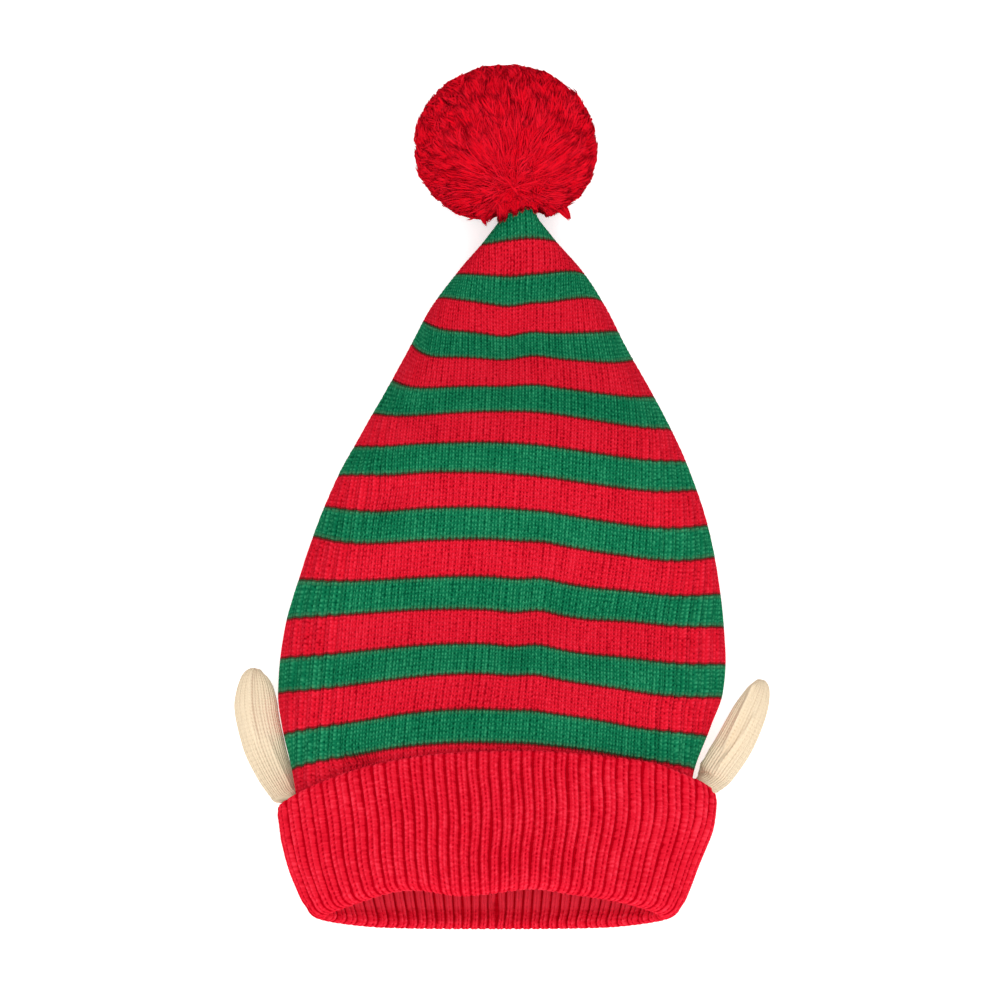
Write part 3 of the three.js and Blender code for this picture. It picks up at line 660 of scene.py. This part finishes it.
def cuff_surface():
    """The cuff as rows along its path by columns round it.

    Each row has an outset from the crown's surface, a place along the hat and the direction that the
    good face looks in, as a pair of outset and along. The relief moves a point that way. Across a
    rib it is a rounded ridge with a groove down its middle, and along it swells with each course.
    The right upper corner of the band stands out by two millimetres more, and the mouth's upper edge
    sags in the middle between two small rises.
    """
    rib = (np.arange(RIB_COUNT)[:, None] + RIB_LINES[None, :]).ravel()
    share = rib / RIB_COUNT + RIB_BUNCHING * np.sin(4 * math.pi * rib / RIB_COUNT) / (4 * math.pi)
    angle = even_angles(share, CROWN_START, OUTER_LEG_GAP + RIB_WALL)[None, :]
    fold, top = around_cuff("fold", angle), cuff_top(angle)
    for place, reach, lift in MOUTH_WAVES:
        fold = fold + lift * bell(angle - place, reach)
    gap = leg_gap(angle, 0)
    bend = fold + gap / 2 + RIB_WALL
    seam = CROWN_START - SEAM_GAP
    rows = []

    def add(*measures):
        """Adds rows: outset, place along, the two parts of the direction and the relief's share."""
        rows.append(np.broadcast_arrays(*measures))

    t = np.linspace(0, 1, 31)[:-1, None]
    add(-RIB_WALL, seam + (bend - seam) * t, -1.0, 0.0, ramp(t, 0.0, 0.12))
    turn = np.linspace(0, math.pi, 19)[:-1, None]
    outside = gap / 2 + RIB_WALL
    rolled = 1 - 0.75 * ramp(turn, 0.2, 1.6)
    back, down = np.cos(turn), np.sin(turn)
    add(gap / 2 - outside * back, bend - outside * down, -back, -down, rolled)
    t = np.linspace(0, 1, 93)[:, None]
    depth = 0.25 + 0.75 * ramp(t, 0.0, 0.09) - 0.7 * ramp(t, 0.94, 1)
    add(leg_gap(angle, t) + RIB_WALL, bend + (top - RIB_WALL / 2 - bend) * t, 1.0, 0.0, depth)
    turn = np.linspace(0, math.pi, 6)[1:-1, None]
    lip = RIB_WALL / 2
    out_part, up_part = np.cos(turn), np.sin(turn)
    edge = leg_gap(angle, 1) + lip + lip * out_part
    add(edge, top - lip + lip * up_part, out_part, up_part, 0.3 * np.cos(turn / 2))
    t = np.linspace(1, 0, 5)[:, None]
    add(leg_gap(angle, t), bend + (top - lip - bend) * t, -1.0, 0.0, 0.0)
    turn = np.linspace(math.pi, 0, 5)[1:-1, None]
    add(gap / 2 - gap / 2 * np.cos(turn), bend - gap / 2 * np.sin(turn), 0.0, 0.0, 0.0)
    t = np.linspace(1, 0, 3)[:, None]
    add(0.0, seam + (bend - seam) * t, 1.0, 0.0, 0.0)
    outset, along, out, ahead, depth = (np.concatenate(column) for column in zip(*rows))

    path = np.hypot(np.diff(outset, axis=0), np.diff(along, axis=0))
    walked = np.concatenate((np.zeros((1, path.shape[1])), np.cumsum(path, axis=0)))
    across = np.broadcast_to(rib[None, :], walked.shape) % 1
    from_valley = np.minimum(across, 1 - across)
    ridge = ramp(from_valley, 0.05, 0.22)
    legs = bell(from_valley - 0.31, 0.1)
    groove = bell(from_valley - 0.5, 0.09)
    lean = V_SLANT * np.abs(across - 0.5) * 2
    course = walked / RIB_COURSE + lean
    swell = 0.5 + 0.5 * np.cos(2 * math.pi * course)
    fine = RIB_LEG_HEIGHT * legs - RIB_GROOVE_DEPTH * groove
    relief = RIDGE_HEIGHT * ridge - RIDGE_HEIGHT / 2 + fine + RIB_SWELL * swell * ridge
    relief = relief + random.normal(0, YARN_UNEVENNESS, relief.shape)
    corner = CORNER_OUT * bell(along - CORNER_AT, CORNER_REACH) * ramp(np.cos(angle), 0.8, 0.97)
    relief = relief * depth + corner * ramp(outset, 0.0, 0.002)
    phase = random.uniform(0, 2 * math.pi, (2, RIB_COUNT))[:, rib.astype(int)]
    wander = np.sin(walked * 130 + phase[0]) + 0.6 * np.sin(walked * 290 + phase[1])
    angle = angle + wander * RIB_WANDER * ramp(walked, 0, 0.01) * (depth > 0)
    points = tube_point(np.maximum(along + ahead * relief, -0.001), angle, outset + out * relief)
    chart = np.stack((np.broadcast_to(rib[None, :], walked.shape), course), -1)
    return points, chart


cuff_points, cuff_chart = cuff_surface()
quads = grid_quads(*cuff_points.shape[:2])
cuff = make_mesh("cuff_ribbed", cuff_points, quads, cuff_chart.reshape(-1, 2)[quads], red_rib_yarn)
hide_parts("cuff")
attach(cuff, "root")

# %% [markdown]
# Each ear is a knitted cover filled with wadding. Its form starts as ovals along a bent line, thin at
# the root that is held under the cuff. That leaf is made as a thin bag of cloth and blown up a little
# by a cloth simulation, as the wadding does, while the root stays held. The simulation is run on a
# coarse bag; its grid is then refined by smooth curves, and the fine stitches are laid over it.

# %% The ears' form
EAR_LENGTH, EAR_WIDTH, EAR_THICKNESS = 0.076, 0.020, 0.0095
EAR_ROOT_FROM_MOUTH, EAR_HELD_SHARE = 0.050, 0.125
EAR_STITCH, EAR_COURSE, EAR_RELIEF = 0.0024, 0.0018, 0.00014
EAR_BAG, EAR_LINES, EAR_AROUND = (34, 22), 176, 126
BAG_SHARE, BAG_PRESSURE, MOST_SWELL, CLOTH_FRAMES = 0.93, 0.6, 0.001, 16
LEFT_EAR = table(
    "at along out up width thick roll",
    (0, 0, 0, 0, 0.5, 0, 88),
    (0.125, 0.125, 0, 0, 0.62, 0, 82),
    (0.175, 0.16, 0.042, -0.02, 0.9, 0.3, 50),
    (0.24, 0.24, 0.088, -0.028, 0.95, 0.45, 40),
    (0.32, 0.34, 0.137, -0.025, 1, 0.65, 31),
    (0.46, 0.504, 0.199, -0.02, 1.1, 0.9, 24),
    (0.68, 0.73, 0.253, -0.03, 1.12, 1, 20),
    (0.83, 0.848, 0.264, -0.035, 0.97, 0.9, 18),
    (0.94, 0.942, 0.272, -0.035, 0.64, 0.6, 18),
    (1, 0.985, 0.268, -0.035, 0.3, 0.1, 18),
)
RIGHT_EAR = table(
    "at along out up width thick roll",
    (0, 0, 0, 0, 0.5, 0, 88),
    (0.125, 0.125, 0, 0, 0.62, 0, 80),
    (0.175, 0.162, 0.05, -0.015, 0.88, 0.3, 50),
    (0.24, 0.206, 0.097, -0.015, 0.94, 0.45, 38),
    (0.32, 0.26, 0.131, -0.005, 0.99, 0.65, 28),
    (0.48, 0.414, 0.232, 0, 0.98, 0.9, 20),
    (0.68, 0.601, 0.326, 0, 0.89, 1, 16),
    (0.84, 0.728, 0.383, 0, 0.68, 0.9, 14),
    (0.95, 0.8, 0.408, 0, 0.44, 0.6, 14),
    (1, 0.832, 0.413, 0, 0.22, 0.1, 14),
)
# Creases of the upper face: where one starts and ends along the ear, its place across at both ends
# (shares of the half-width, outwards), its width and its depth in metres.
LEFT_CREASES = table(
    "start end near far wide deep",
    (0.5, 1.0, -0.45, -0.3, 0.16, 0.0014),
    (0.2, 0.5, 0.35, 0.1, 0.14, 0.0007),
)
RIGHT_CREASES = table(
    "start end near far wide deep",
    (0.45, 0.93, -0.25, -0.45, 0.12, 0.0017),
    (0.35, 0.7, 0.1, 0.45, 0.12, 0.0013),
)


def angle_by_side(along, rise, hand):
    """The angle round the tube of a point a given rise above or below a side fold."""
    at = along / HAT_LENGTH
    bottom = section("lift", at) + section("rise", at)
    height = section("top", at) - bottom
    reach_up = height * (1 - SIDE_LEVEL)
    reach_down = height * SIDE_LEVEL + BACK_FLATTENING
    above = np.clip(rise / reach_up, 0, 1) ** (ARCH_HEIGHT_POWER / 2)
    below = np.clip(-rise / reach_down, 0, 1) ** (BACK_HEIGHT_POWER / 2)
    angle = np.arcsin(np.where(rise >= 0, above, -below))
    return angle if hand > 0 else math.pi - angle


def unit(vectors):
    return vectors / np.linalg.norm(vectors, axis=-1, keepdims=True)


def ear_rings(rows, hand, count, sides):
    """The ear as rings: ovals rolled about its bent line, which bend round the crown's side fold
    while they are held under the cuff."""
    stand_off = EAR_CLEARANCE + EAR_ROOT_THICKNESS / 2
    root_along = np.array(EAR_ROOT_FROM_MOUTH + hand * CUFF_TILT)
    root = tube_point(root_along, angle_by_side(root_along, np.array(0.0), hand), stand_off)

    def middle_at(at):
        out, along, up = (smooth_column(rows, name, at) for name in ("out", "along", "up"))
        return root + EAR_LENGTH * np.stack((hand * out, along, up), -1)

    at = np.linspace(0, 1, count)
    middle = middle_at(at)
    ahead = unit(middle_at(np.minimum(at + 0.01, 1)) - middle_at(np.maximum(at - 0.01, 0)))
    level = unit(np.cross(ahead, (0.0, 0.0, 1.0)))
    roll = np.radians(-hand * smooth_column(rows, "roll", at))[:, None]
    across = level * np.cos(roll) + np.cross(ahead, level) * np.sin(roll)
    above = np.cross(across, ahead)
    turn = np.linspace(0, 2 * math.pi, sides, endpoint=False)[None, :]
    half = smooth_column(rows, "width", at)[:, None] * EAR_WIDTH / 2
    thick = smooth_column(rows, "thick", at)[:, None]
    deep = (EAR_ROOT_THICKNESS + (EAR_THICKNESS - EAR_ROOT_THICKNESS) * thick) / 2
    free = ramp(at, EAR_HELD_SHARE, 1.5 * EAR_HELD_SHARE)[:, None, None]
    leaf = middle[:, None] + across[:, None] * (half * np.cos(turn))[..., None]
    leaf = leaf + above[:, None] * (deep * np.sin(turn))[..., None]
    from_mouth = np.broadcast_to(middle[:, 1:2] + ORIGIN_FROM_MOUTH, leaf.shape[:2])
    held = angle_by_side(from_mouth, hand * half * np.cos(turn), hand)
    bent = tube_point(from_mouth, held, stand_off - deep * np.sin(turn))
    return bent * (1 - free) + leaf * free


def blown_up(name, rings, pressure, most):
    """Blows a closed bag of cloth up from inside with its root held, and returns its rings again. No
    point moves further than most."""
    count, sides = rings.shape[:2]
    ends = rings[[0, -1]].mean(axis=1)
    points = np.concatenate((rings.reshape(-1, 3), ends))
    here = np.arange(count * sides).reshape(count, sides)
    beside = np.roll(here, -1, axis=1)
    quads = np.stack([here[:-1], beside[:-1], beside[1:], here[1:]], -1).reshape(-1, 4).tolist()
    first, last = count * sides, count * sides + 1
    fans = [(first, b, a) for a, b in zip(here[0], beside[0])]
    fans += [(last, a, b) for a, b in zip(here[-1], beside[-1])]
    mesh = bpy.data.meshes.new(name)
    mesh.from_pydata(points.tolist(), [], quads + [tuple(int(i) for i in fan) for fan in fans])
    bag = bpy.data.objects.new(name, mesh)
    bpy.context.collection.objects.link(bag)
    held = bag.vertex_groups.new(name="held")
    held.add([int(i) for i in here[: int(count * 0.2)].ravel()] + [first], 1.0, "REPLACE")
    cloth = bag.modifiers.new("cloth", "CLOTH")
    cloth.settings.vertex_group_mass = "held"
    cloth.settings.use_pressure = True
    cloth.settings.uniform_pressure_force = pressure
    cloth.settings.effector_weights.gravity = 0
    cloth.settings.mass = 0.1
    cloth.settings.bending_stiffness = 0.3
    cloth.settings.shrink_min = -0.03
    scene = bpy.context.scene
    scene.frame_start = 1
    for frame_number in range(1, CLOTH_FRAMES + 1):
        scene.frame_set(frame_number)
    evaluated = bag.evaluated_get(bpy.context.evaluated_depsgraph_get())
    moved = np.empty(len(points) * 3)
    evaluated.data.vertices.foreach_get("co", moved)
    scene.frame_set(1)
    bpy.data.objects.remove(bag)
    bpy.data.meshes.remove(mesh)
    step = moved.reshape(-1, 3)[: count * sides].reshape(rings.shape) - rings
    length = np.linalg.norm(step, axis=-1, keepdims=True)
    print(name, "moved by up to", round(1000 * float(length.max()), 2), "mm")
    return rings + step * np.minimum(1, most / np.maximum(length, 1e-9))


def refined(points, steps, closed):
    """A grid with more rows: each new row lies on the curve through the four rows round it."""
    count = len(points)
    spans = count if closed else count - 1
    at = np.arange(steps) * spans / steps if closed else np.linspace(0, spans, steps)
    cell = np.minimum(at.astype(int), spans - 1)
    t = (at - cell).reshape((-1,) + (1,) * (points.ndim - 1))
    near = [cell + k for k in (-1, 0, 1, 2)]
    before, here, ahead, beyond = (points[i % count if closed else np.clip(i, 0, count - 1)] for i in near)
    cubic = 3 * (here - ahead) + beyond - before
    square = 2 * before - 5 * here + 4 * ahead - beyond
    return here + 0.5 * t * (ahead - before + t * (square + t * cubic))


# %% The ears' stitches
def make_ear(name, rows, creases, hand):
    """Blows the bag up, refines it and lays creases and stitches on it, along its own normals."""
    rings = ear_rings(rows, hand, *EAR_BAG)
    middles = rings.mean(axis=1, keepdims=True)
    shrunk = middles + BAG_SHARE * (rings - middles)
    rings = blown_up(name + "_bag", shrunk, BAG_PRESSURE, MOST_SWELL)
    lines, around = EAR_LINES, EAR_AROUND
    grid = refined(rings, lines, False)
    grid = refined(grid.swapaxes(0, 1), around, True).swapaxes(0, 1)
    facing = np.cross(np.roll(grid, -1, axis=1) - np.roll(grid, 1, axis=1), np.gradient(grid, axis=0))
    facing = unit(facing)
    at = np.linspace(0, 1, lines)[:, None]
    turn = np.linspace(0, 2 * math.pi, around, endpoint=False)[None, :]
    outwards = np.cos(turn)
    upper = ramp(np.sin(turn), 0.0, 0.5)
    crease = 0
    for start, end, near, far, wide, deep in zip(*creases.values()):
        along = np.clip((at - start) / (end - start), 0, 1)
        shown = ramp(at, start - 0.06, start + 0.04) * ramp(-at, -end - 0.02, -end + 0.05)
        crease = crease + deep * shown * bell(outwards - (near + (far - near) * along), wide)
    girth = np.linalg.norm(np.diff(grid[lines // 2], axis=0), axis=1).sum()
    columns = round(girth / EAR_STITCH)
    column = np.broadcast_to(turn / (2 * math.pi) * columns, grid.shape[:2])
    beside = np.abs((column % 1) - 0.5) * 2
    course = at * EAR_LENGTH / EAR_COURSE + 0.45 * beside
    crest = 0.5 - 0.5 * np.cos(2 * math.pi * beside)
    swell = 0.5 - 0.5 * np.cos(2 * math.pi * course)
    ends = ramp(at, 0.0, 0.03) * ramp(1 - at, 0.0, 0.03)
    relief = EAR_RELIEF * (crest * 0.5 + swell * (0.3 + 0.4 * crest) - 0.7) * ends - crease * upper
    grid = grid + facing * relief[..., None]
    ends = [grid[row].mean(axis=1, keepdims=True).repeat(around, 1) for row in (slice(1), slice(-1, None))]
    closed = np.concatenate((ends[0], grid, ends[1]))
    chart = np.stack((column, course), -1)
    chart = np.concatenate((chart[:1], chart, chart[-1:]))
    quads = grid_quads(*closed.shape[:2])[: -around].reshape(-1, 4)[:, ::-1]
    return make_mesh(name, closed, quads, chart.reshape(-1, 2)[quads], cream_yarn)


EARS = (("ear_left", LEFT_EAR, LEFT_CREASES, -1), ("ear_right", RIGHT_EAR, RIGHT_CREASES, 1))
for name, rows, creases, hand in EARS:
    ear = make_ear(name + "_padded", rows, creases, hand)
    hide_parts(name)
    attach(ear, "root")

# %% [markdown]
# The pompom is cut yarn, tied at its middle and brushed out until the strands fluff up. From above,
# they spread from the tie like hair from a crown, over the ball and down, and hang together in small
# locks. Each lock is a bunch of strands whose tips draw together; each strand is a thin three-sided
# spike along a curved line. A ball of the same yarn inside keeps the light from passing through.

# %% The pompom's form
POMPOM_CENTRE = np.array((0.0025, 0.1780, 0.0410))
POMPOM_REACH = np.array((0.0462, 0.0387, 0.0430))
TIE_DIRECTION = np.array((0.10, -0.90, 0.42)) / np.linalg.norm((0.10, -0.90, 0.42))
LOWER_RIGHT = np.array((0.71, -0.64, -0.3))
LOWER_LEFT = np.array((-0.71, -0.64, -0.3))
LOCKS_OF_YARN, STRANDS_IN_LOCK = 1980, 10
STRAND_ROWS = 5
STRAND_RADIUS = 0.00058
GROUND_CLEARANCE = 0.0011
NECK_GAP, NECK_LEAN, NECK_SLOPE, NECK_HALF = 0.1583, 0.36, 0.118, 0.0135
NECK_ROUNDING, NECK_REACH, MOST_PUSHED = 0.003, 0.017, 0.02
SKIRT_LOCKS, SKIRT_STRANDS, TUFT_STRANDS = 40, 16, 40
LIT_FROM_BELOW, FACING_SHARE = 0.06, 0.97
CORE_RINGS, CORE_SPOKES = 33, 48
SKIRT_MIDDLE, SKIRT_HALF, SKIRT_SLOPE = (0.0090, 0.1407), 0.0100, 0.0030
LOOSE_TUFTS = (
    ((-0.0105, 0.151, 0.030), (-0.0072, 0.1392, 0.027)),
    ((0.0285, 0.152, 0.030), (0.0355, 0.1425, 0.027)),
)


def ball_direction(tilt, spin):
    """A direction from the ball's middle: tilt from the tie's direction, spin round it."""
    sideways = unit(np.cross(TIE_DIRECTION, (0.0, 0.0, 1.0)))
    upwards = np.cross(sideways, TIE_DIRECTION)
    ring = sideways * np.cos(spin)[..., None] + upwards * np.sin(spin)[..., None]
    return TIE_DIRECTION * np.cos(tilt)[..., None] + ring * np.sin(tilt)[..., None]


def in_crown(points):
    """Which points lie inside the tube's tip, with a millimetre to spare."""
    along = points[..., 1] + ORIGIN_FROM_MOUTH
    at = along / HAT_LENGTH
    low, high = section("rise", at), section("top", at)
    beside = (points[..., 0] - section("centre", at)) / section("half", at)
    above = (points[..., 2] - (low + high) / 2) / ((high - low) / 2)
    return (beside**2 + above**2 < 1.05) & (along < HAT_LENGTH)


def below_neck_line(points):
    """How far points lie past a rounded line across the view beside the tip, where the ball opens:
    gap + slope * aside - 3 mm * (aside / half)^6, less along and the share of the height in the view."""
    aside = points[..., 0] - SKIRT_MIDDLE[0]
    line = NECK_GAP + NECK_SLOPE * aside - NECK_ROUNDING * (aside / NECK_HALF) ** 6
    past = line - points[..., 1] - NECK_LEAN * points[..., 2]
    return np.where(np.abs(aside) < NECK_REACH, past, -1.0)


def strands(count_locks, in_lock, seed):
    """Strand centre lines, locks spread evenly over the ball. A strand leaves the middle steeply and
    then bends to lie along the ball, away from the tie, and its lock's strands draw together.
    Beside the tip, strands are pushed back behind the neck line."""
    draw = np.random.default_rng(seed)
    number = np.arange(count_locks) + 0.5
    tilt = np.arccos(1 - 2 * number / count_locks)
    spin = number * math.pi * (3 - math.sqrt(5)) + draw.normal(0, 0.12, count_locks)
    tilt, spin = (np.repeat(value, in_lock) for value in (tilt, spin))
    total = len(tilt)
    aside = draw.normal(0, 1, (2, total)) * (0.055 + 0.06 * ramp(tilt, 0.5, 0.1))
    t = np.linspace(0, 1, STRAND_ROWS)[None, :]
    upright = ramp(-ball_direction(tilt, spin)[:, 0], 0.2, 0.8)
    sweep = (0.52 - 0.1 * tilt) * (1 - 0.55 * upright) * (0.2 + 0.8 * ramp(tilt, 0.1, 0.55))
    sweep = sweep + draw.normal(0, 0.04, total) + np.repeat(draw.normal(0, 0.07, count_locks), in_lock)
    bend = sweep[:, None] * (t**1.3 - 0.4)
    gather = 1 - 0.75 * t**1.2
    tilts = tilt[:, None] + bend + aside[0][:, None] * gather
    spins = spin[:, None] + aside[1][:, None] * gather / np.maximum(np.sin(tilt), 0.25)[:, None]
    spins = spins + np.repeat(draw.normal(0, 0.1, count_locks), in_lock)[:, None] * t * t
    tip = 0.985 + draw.normal(0, 0.012, total) + np.repeat(draw.normal(0, 0.009, count_locks), in_lock)
    share = 0.915 + (tip[:, None] - 0.915) * (1 - (1 - t) ** 1.6)
    towards = ball_direction(tilts, spins)
    share = share + 0.06 * ramp(towards @ LOWER_RIGHT, 0.72, 0.97)
    share = share + 0.03 * ramp(towards @ LOWER_LEFT, 0.8, 0.97)
    path = POMPOM_CENTRE + POMPOM_REACH * share[..., None] * towards
    path = path + draw.normal(0, 0.00025, path.shape) * t[..., None]
    path[..., 2] = np.maximum(path[..., 2], GROUND_CLEARANCE + 0.001 * (1 - t))
    path[..., 1] += np.clip(below_neck_line(path), 0, MOST_PUSHED)
    return path[~in_crown(path).any(axis=1)]


def bent_strands(start, bend, end):
    """Strand lines that leave start towards bend and end at end: parabolas, from points of one count."""
    t = np.linspace(0, 1, STRAND_ROWS)[None, :, None]
    return (1 - t) ** 2 * start[:, None] + 2 * t * (1 - t) * bend[:, None] + t**2 * end[:, None]


def top_of_crown(x, y):
    """Height of the tube's upper surface over a place near its middle."""
    at = (y + ORIGIN_FROM_MOUTH) / HAT_LENGTH
    low, high = section("rise", at), section("top", at)
    across = np.clip(np.abs((x - section("centre", at)) / section("half", at)), 0, 1)
    arch = (1 - across**ARCH_WIDTH_POWER) ** (1 / ARCH_HEIGHT_POWER)
    return low + (high - low) * (SIDE_LEVEL + (1 - SIDE_LEVEL) * arch)


def skirt_strands(seed):
    """Strands that fan out from the tie over the crown's tip in uneven locks, and two loose tufts
    that stand out beside the tip."""
    draw = np.random.default_rng(seed)
    lock = np.repeat(np.arange(SKIRT_LOCKS), SKIRT_STRANDS)
    side = (np.linspace(-1, 1, SKIRT_LOCKS) + draw.normal(0, 0.05, SKIRT_LOCKS))[lock]
    reach = (draw.normal(0, 0.0012, SKIRT_LOCKS) - 0.0010)[lock] + draw.normal(0, 0.0005, len(lock))
    x = SKIRT_MIDDLE[0] + SKIRT_HALF * side
    y = SKIRT_MIDDLE[1] + SKIRT_SLOPE * side + reach
    end = np.stack((x + draw.normal(0, 0.0004, len(x)), y, top_of_crown(x, y) + 0.001), -1)
    near_tie = ball_direction(draw.uniform(0.05, 0.4, len(x)), draw.uniform(0, 2 * math.pi, len(x)))
    start = POMPOM_CENTRE + POMPOM_REACH * draw.uniform(0.9, 0.98, (len(x), 1)) * near_tie
    start[:, 0] += 0.5 * (x - SKIRT_MIDDLE[0])
    over = np.stack((x, 0.1425 + 0 * x, top_of_crown(x, y) + draw.uniform(0.008, 0.013, len(x))), -1)
    bend = over + draw.normal(0, 0.0008, over.shape)
    fans = [bent_strands(start, bend, end)]
    for start, end in LOOSE_TUFTS:
        root = np.array(start) + draw.normal(0, 0.0016, (TUFT_STRANDS, 3))
        tip = np.array(end) + draw.normal(0, 0.0005, (TUFT_STRANDS, 3))
        middle = (root + tip) / 2 + draw.normal(0, 0.0006, (TUFT_STRANDS, 3))
        fans.append(bent_strands(root, middle, tip))
    return np.concatenate(fans)


def strand_mesh(name, paths, material, seed):
    """Three-sided spikes along the paths, which swell from a point and end in a point. The chart
    holds each strand's own random number and the share along it."""
    draw = np.random.default_rng(seed)
    count, rows = paths.shape[:2]
    ahead = unit(np.gradient(paths, axis=1))
    outwards = unit(paths - POMPOM_CENTRE)
    beside = unit(np.cross(ahead, outwards))
    above = np.cross(beside, ahead)
    t = np.linspace(0, 1, rows)
    width = STRAND_RADIUS * np.sin(math.pi * np.clip(t, 0, 1) ** 0.7) ** 0.6
    width[[0, -1]] = 0
    width = width[None, :] * draw.uniform(0.7, 1.3, (count, 1))
    turn = draw.uniform(0, 2 * math.pi, (count, 1, 1)) + np.array((0, 2, 4)) * math.pi / 3
    ring = beside[:, :, None] * np.cos(turn)[..., None] + above[:, :, None] * np.sin(turn)[..., None]
    points = paths[:, :, None] + ring * width[:, :, None, None]
    points[..., 2] = np.maximum(points[..., 2], 0.0002)
    here = np.arange(rows * 3).reshape(rows, 3)
    beside_here = np.roll(here, -1, axis=1)
    quads = np.stack([here[:-1], here[1:], beside_here[1:], beside_here[:-1]], -1).reshape(-1, 4)
    faces = (quads[None] + (np.arange(count) * rows * 3)[:, None, None]).reshape(-1, 4)
    chance = np.repeat(draw.uniform(0, 1, count), rows * 3)
    chart = np.stack((chance, np.tile(np.repeat(t, 3), count)), -1)
    return make_mesh(name, points, faces[:, ::-1], chart[faces[:, ::-1]], material, "strands")


# %% Pompom finish and pieces
def fur_finish(name, deep, full, bright):
    """Brushed yarn, every strand its own tone, with painted shade a little darker towards the root.

    Light scatters between the strands and evens out their dark sides, so the surface is lit mostly as
    the ball that it makes: its direction is a mix of a strand's own and the way out from a point
    below the middle, because the pale floor lights the sides as well.
    """
    finish = Finish(name)
    chance, along = finish.chart("strands")
    place = finish.place()
    patches = finish.cloud(place, 90.0, 3.0)
    tone = (chance - 0.5) * 0.5 + (patches - 0.5) * 0.9 + 0.45
    colour = finish.blend(tone.step(0.0, 1.0), full, bright)
    # Painted shade: darker towards each strand's root, deep inside the ball.
    colour = finish.blend(along.step(0.6, 0.1) * 0.8, colour, deep)
    fibres = finish.cloud(finish.spot(chance * 400, along * 60), 1.0, 2.0)
    below = (POMPOM_CENTRE - np.array((0, 0, LIT_FROM_BELOW))).tolist()
    outwards = finish.vectors("NORMALIZE", finish.vectors("SUBTRACT", place, below))
    own = finish.node("ShaderNodeNewGeometry", output=1)
    mixed = {0: FACING_SHARE, 4: own, 5: outwards}
    facing = finish.node("ShaderNodeMix", {"data_type": "VECTOR"}, mixed, output=1)
    roughness, facing = fibres * 0.15 + 0.8, finish.vectors("NORMALIZE", facing)
    return finish.done(colour, roughness, fibres, 0.0001, 1.0, bright, facing, 0.15)


fur = fur_finish("pompom_fur", (0.88, 0.002, 0.011, 1), (0.92, 0.003, 0.014, 1), (0.97, 0.009, 0.027, 1))
for name, seed in (("pompom_strands", 11), ("pompom_under_strands", 23)):
    paths = strands(LOCKS_OF_YARN // 2, STRANDS_IN_LOCK, seed)
    if name == "pompom_strands":
        paths = np.concatenate((paths, skirt_strands(seed)))
    piece = strand_mesh(name, paths, fur, seed)
    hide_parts("pompom")
    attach(piece, "root")


def pompom_core():
    """A ball inside the strands, a little lumpy, pushed back behind the neck line as they are."""
    tilt = np.linspace(0, math.pi, CORE_RINGS)[:, None]
    spin = np.linspace(0, 2 * math.pi, CORE_SPOKES, endpoint=False)[None, :]
    tilt, spin = np.broadcast_arrays(tilt, spin)
    towards = ball_direction(tilt, spin)
    lumps = 0.93 + 0.01 * np.sin(9 * spin) * np.sin(7 * tilt) * np.sin(tilt)
    points = POMPOM_CENTRE + POMPOM_REACH * lumps[..., None] * towards
    points[..., 1] += np.clip(below_neck_line(points) + 0.0015, 0, MOST_PUSHED)
    points[0], points[-1] = points[0].mean(axis=0), points[-1].mean(axis=0)
    quads = grid_quads(CORE_RINGS, CORE_SPOKES)[:-CORE_SPOKES]
    # Nought along gives the core the painted root shade.
    chart = np.stack((spin, np.zeros(spin.shape)), -1).reshape(-1, 2)
    return make_mesh("pompom_core", points, quads, chart[quads], fur, "strands")


core = pompom_core()
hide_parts("pompom")
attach(core, "root")

# %% Floor, light and colour
def add_floor():
    """A plain pale floor, wide enough for every view, lit a little from below like a light table."""
    finish = Finish("pale_floor")
    surface = finish.node("ShaderNodeBsdfPrincipled", inputs={
        "Base Color": (0.9, 0.9, 0.9, 1), "Roughness": 0.9, "Specular IOR Level": 0.0,
        "Emission Color": (1, 1, 1, 1), "Emission Strength": 0.5,
    })
    finish.node("ShaderNodeOutputMaterial", inputs={"Surface": surface})
    size = 6.0
    corners = np.array([(-size, -size, 0), (size, -size, 0), (size, size, 0), (-size, size, 0)], dtype=float)
    mesh = bpy.data.meshes.new("floor")
    mesh.from_pydata(corners.tolist(), [], [(0, 1, 2, 3)])
    mesh.materials.append(finish.material)
    floor = bpy.data.objects.new("floor", mesh)
    bpy.context.collection.objects.link(floor)


def add_light(name, place, size, power):
    """A square soft light that looks at the middle of the hat."""
    data = bpy.data.lights.new(name, "AREA")
    data.shape, data.size, data.energy = "SQUARE", size, power
    light = bpy.data.objects.new(name, data)
    light.location = place
    x, y, z = place
    light.rotation_euler = (math.atan2(math.hypot(x, y), z), 0, math.atan2(-x, y) + math.pi)
    bpy.context.collection.objects.link(light)


add_floor()
add_light("key_light", (0.8, 0.2, 1.5), 1.2, 6)
add_light("fill_light", (-1.2, 0.2, 1.0), 1.5, 4)
add_light("mouth_light", (0.0, -0.8, 1.3), 0.9, 8)
add_light("low_light", (0.1, -1.2, 0.42), 0.8, 3)
world = bpy.data.worlds.new("studio")
world.use_nodes = True
world.node_tree.nodes["Background"].inputs["Color"].default_value = (1, 1, 1, 1)
world.node_tree.nodes["Background"].inputs["Strength"].default_value = 0.66
bpy.context.scene.world = world
bpy.context.scene.view_settings.view_transform = "Standard"
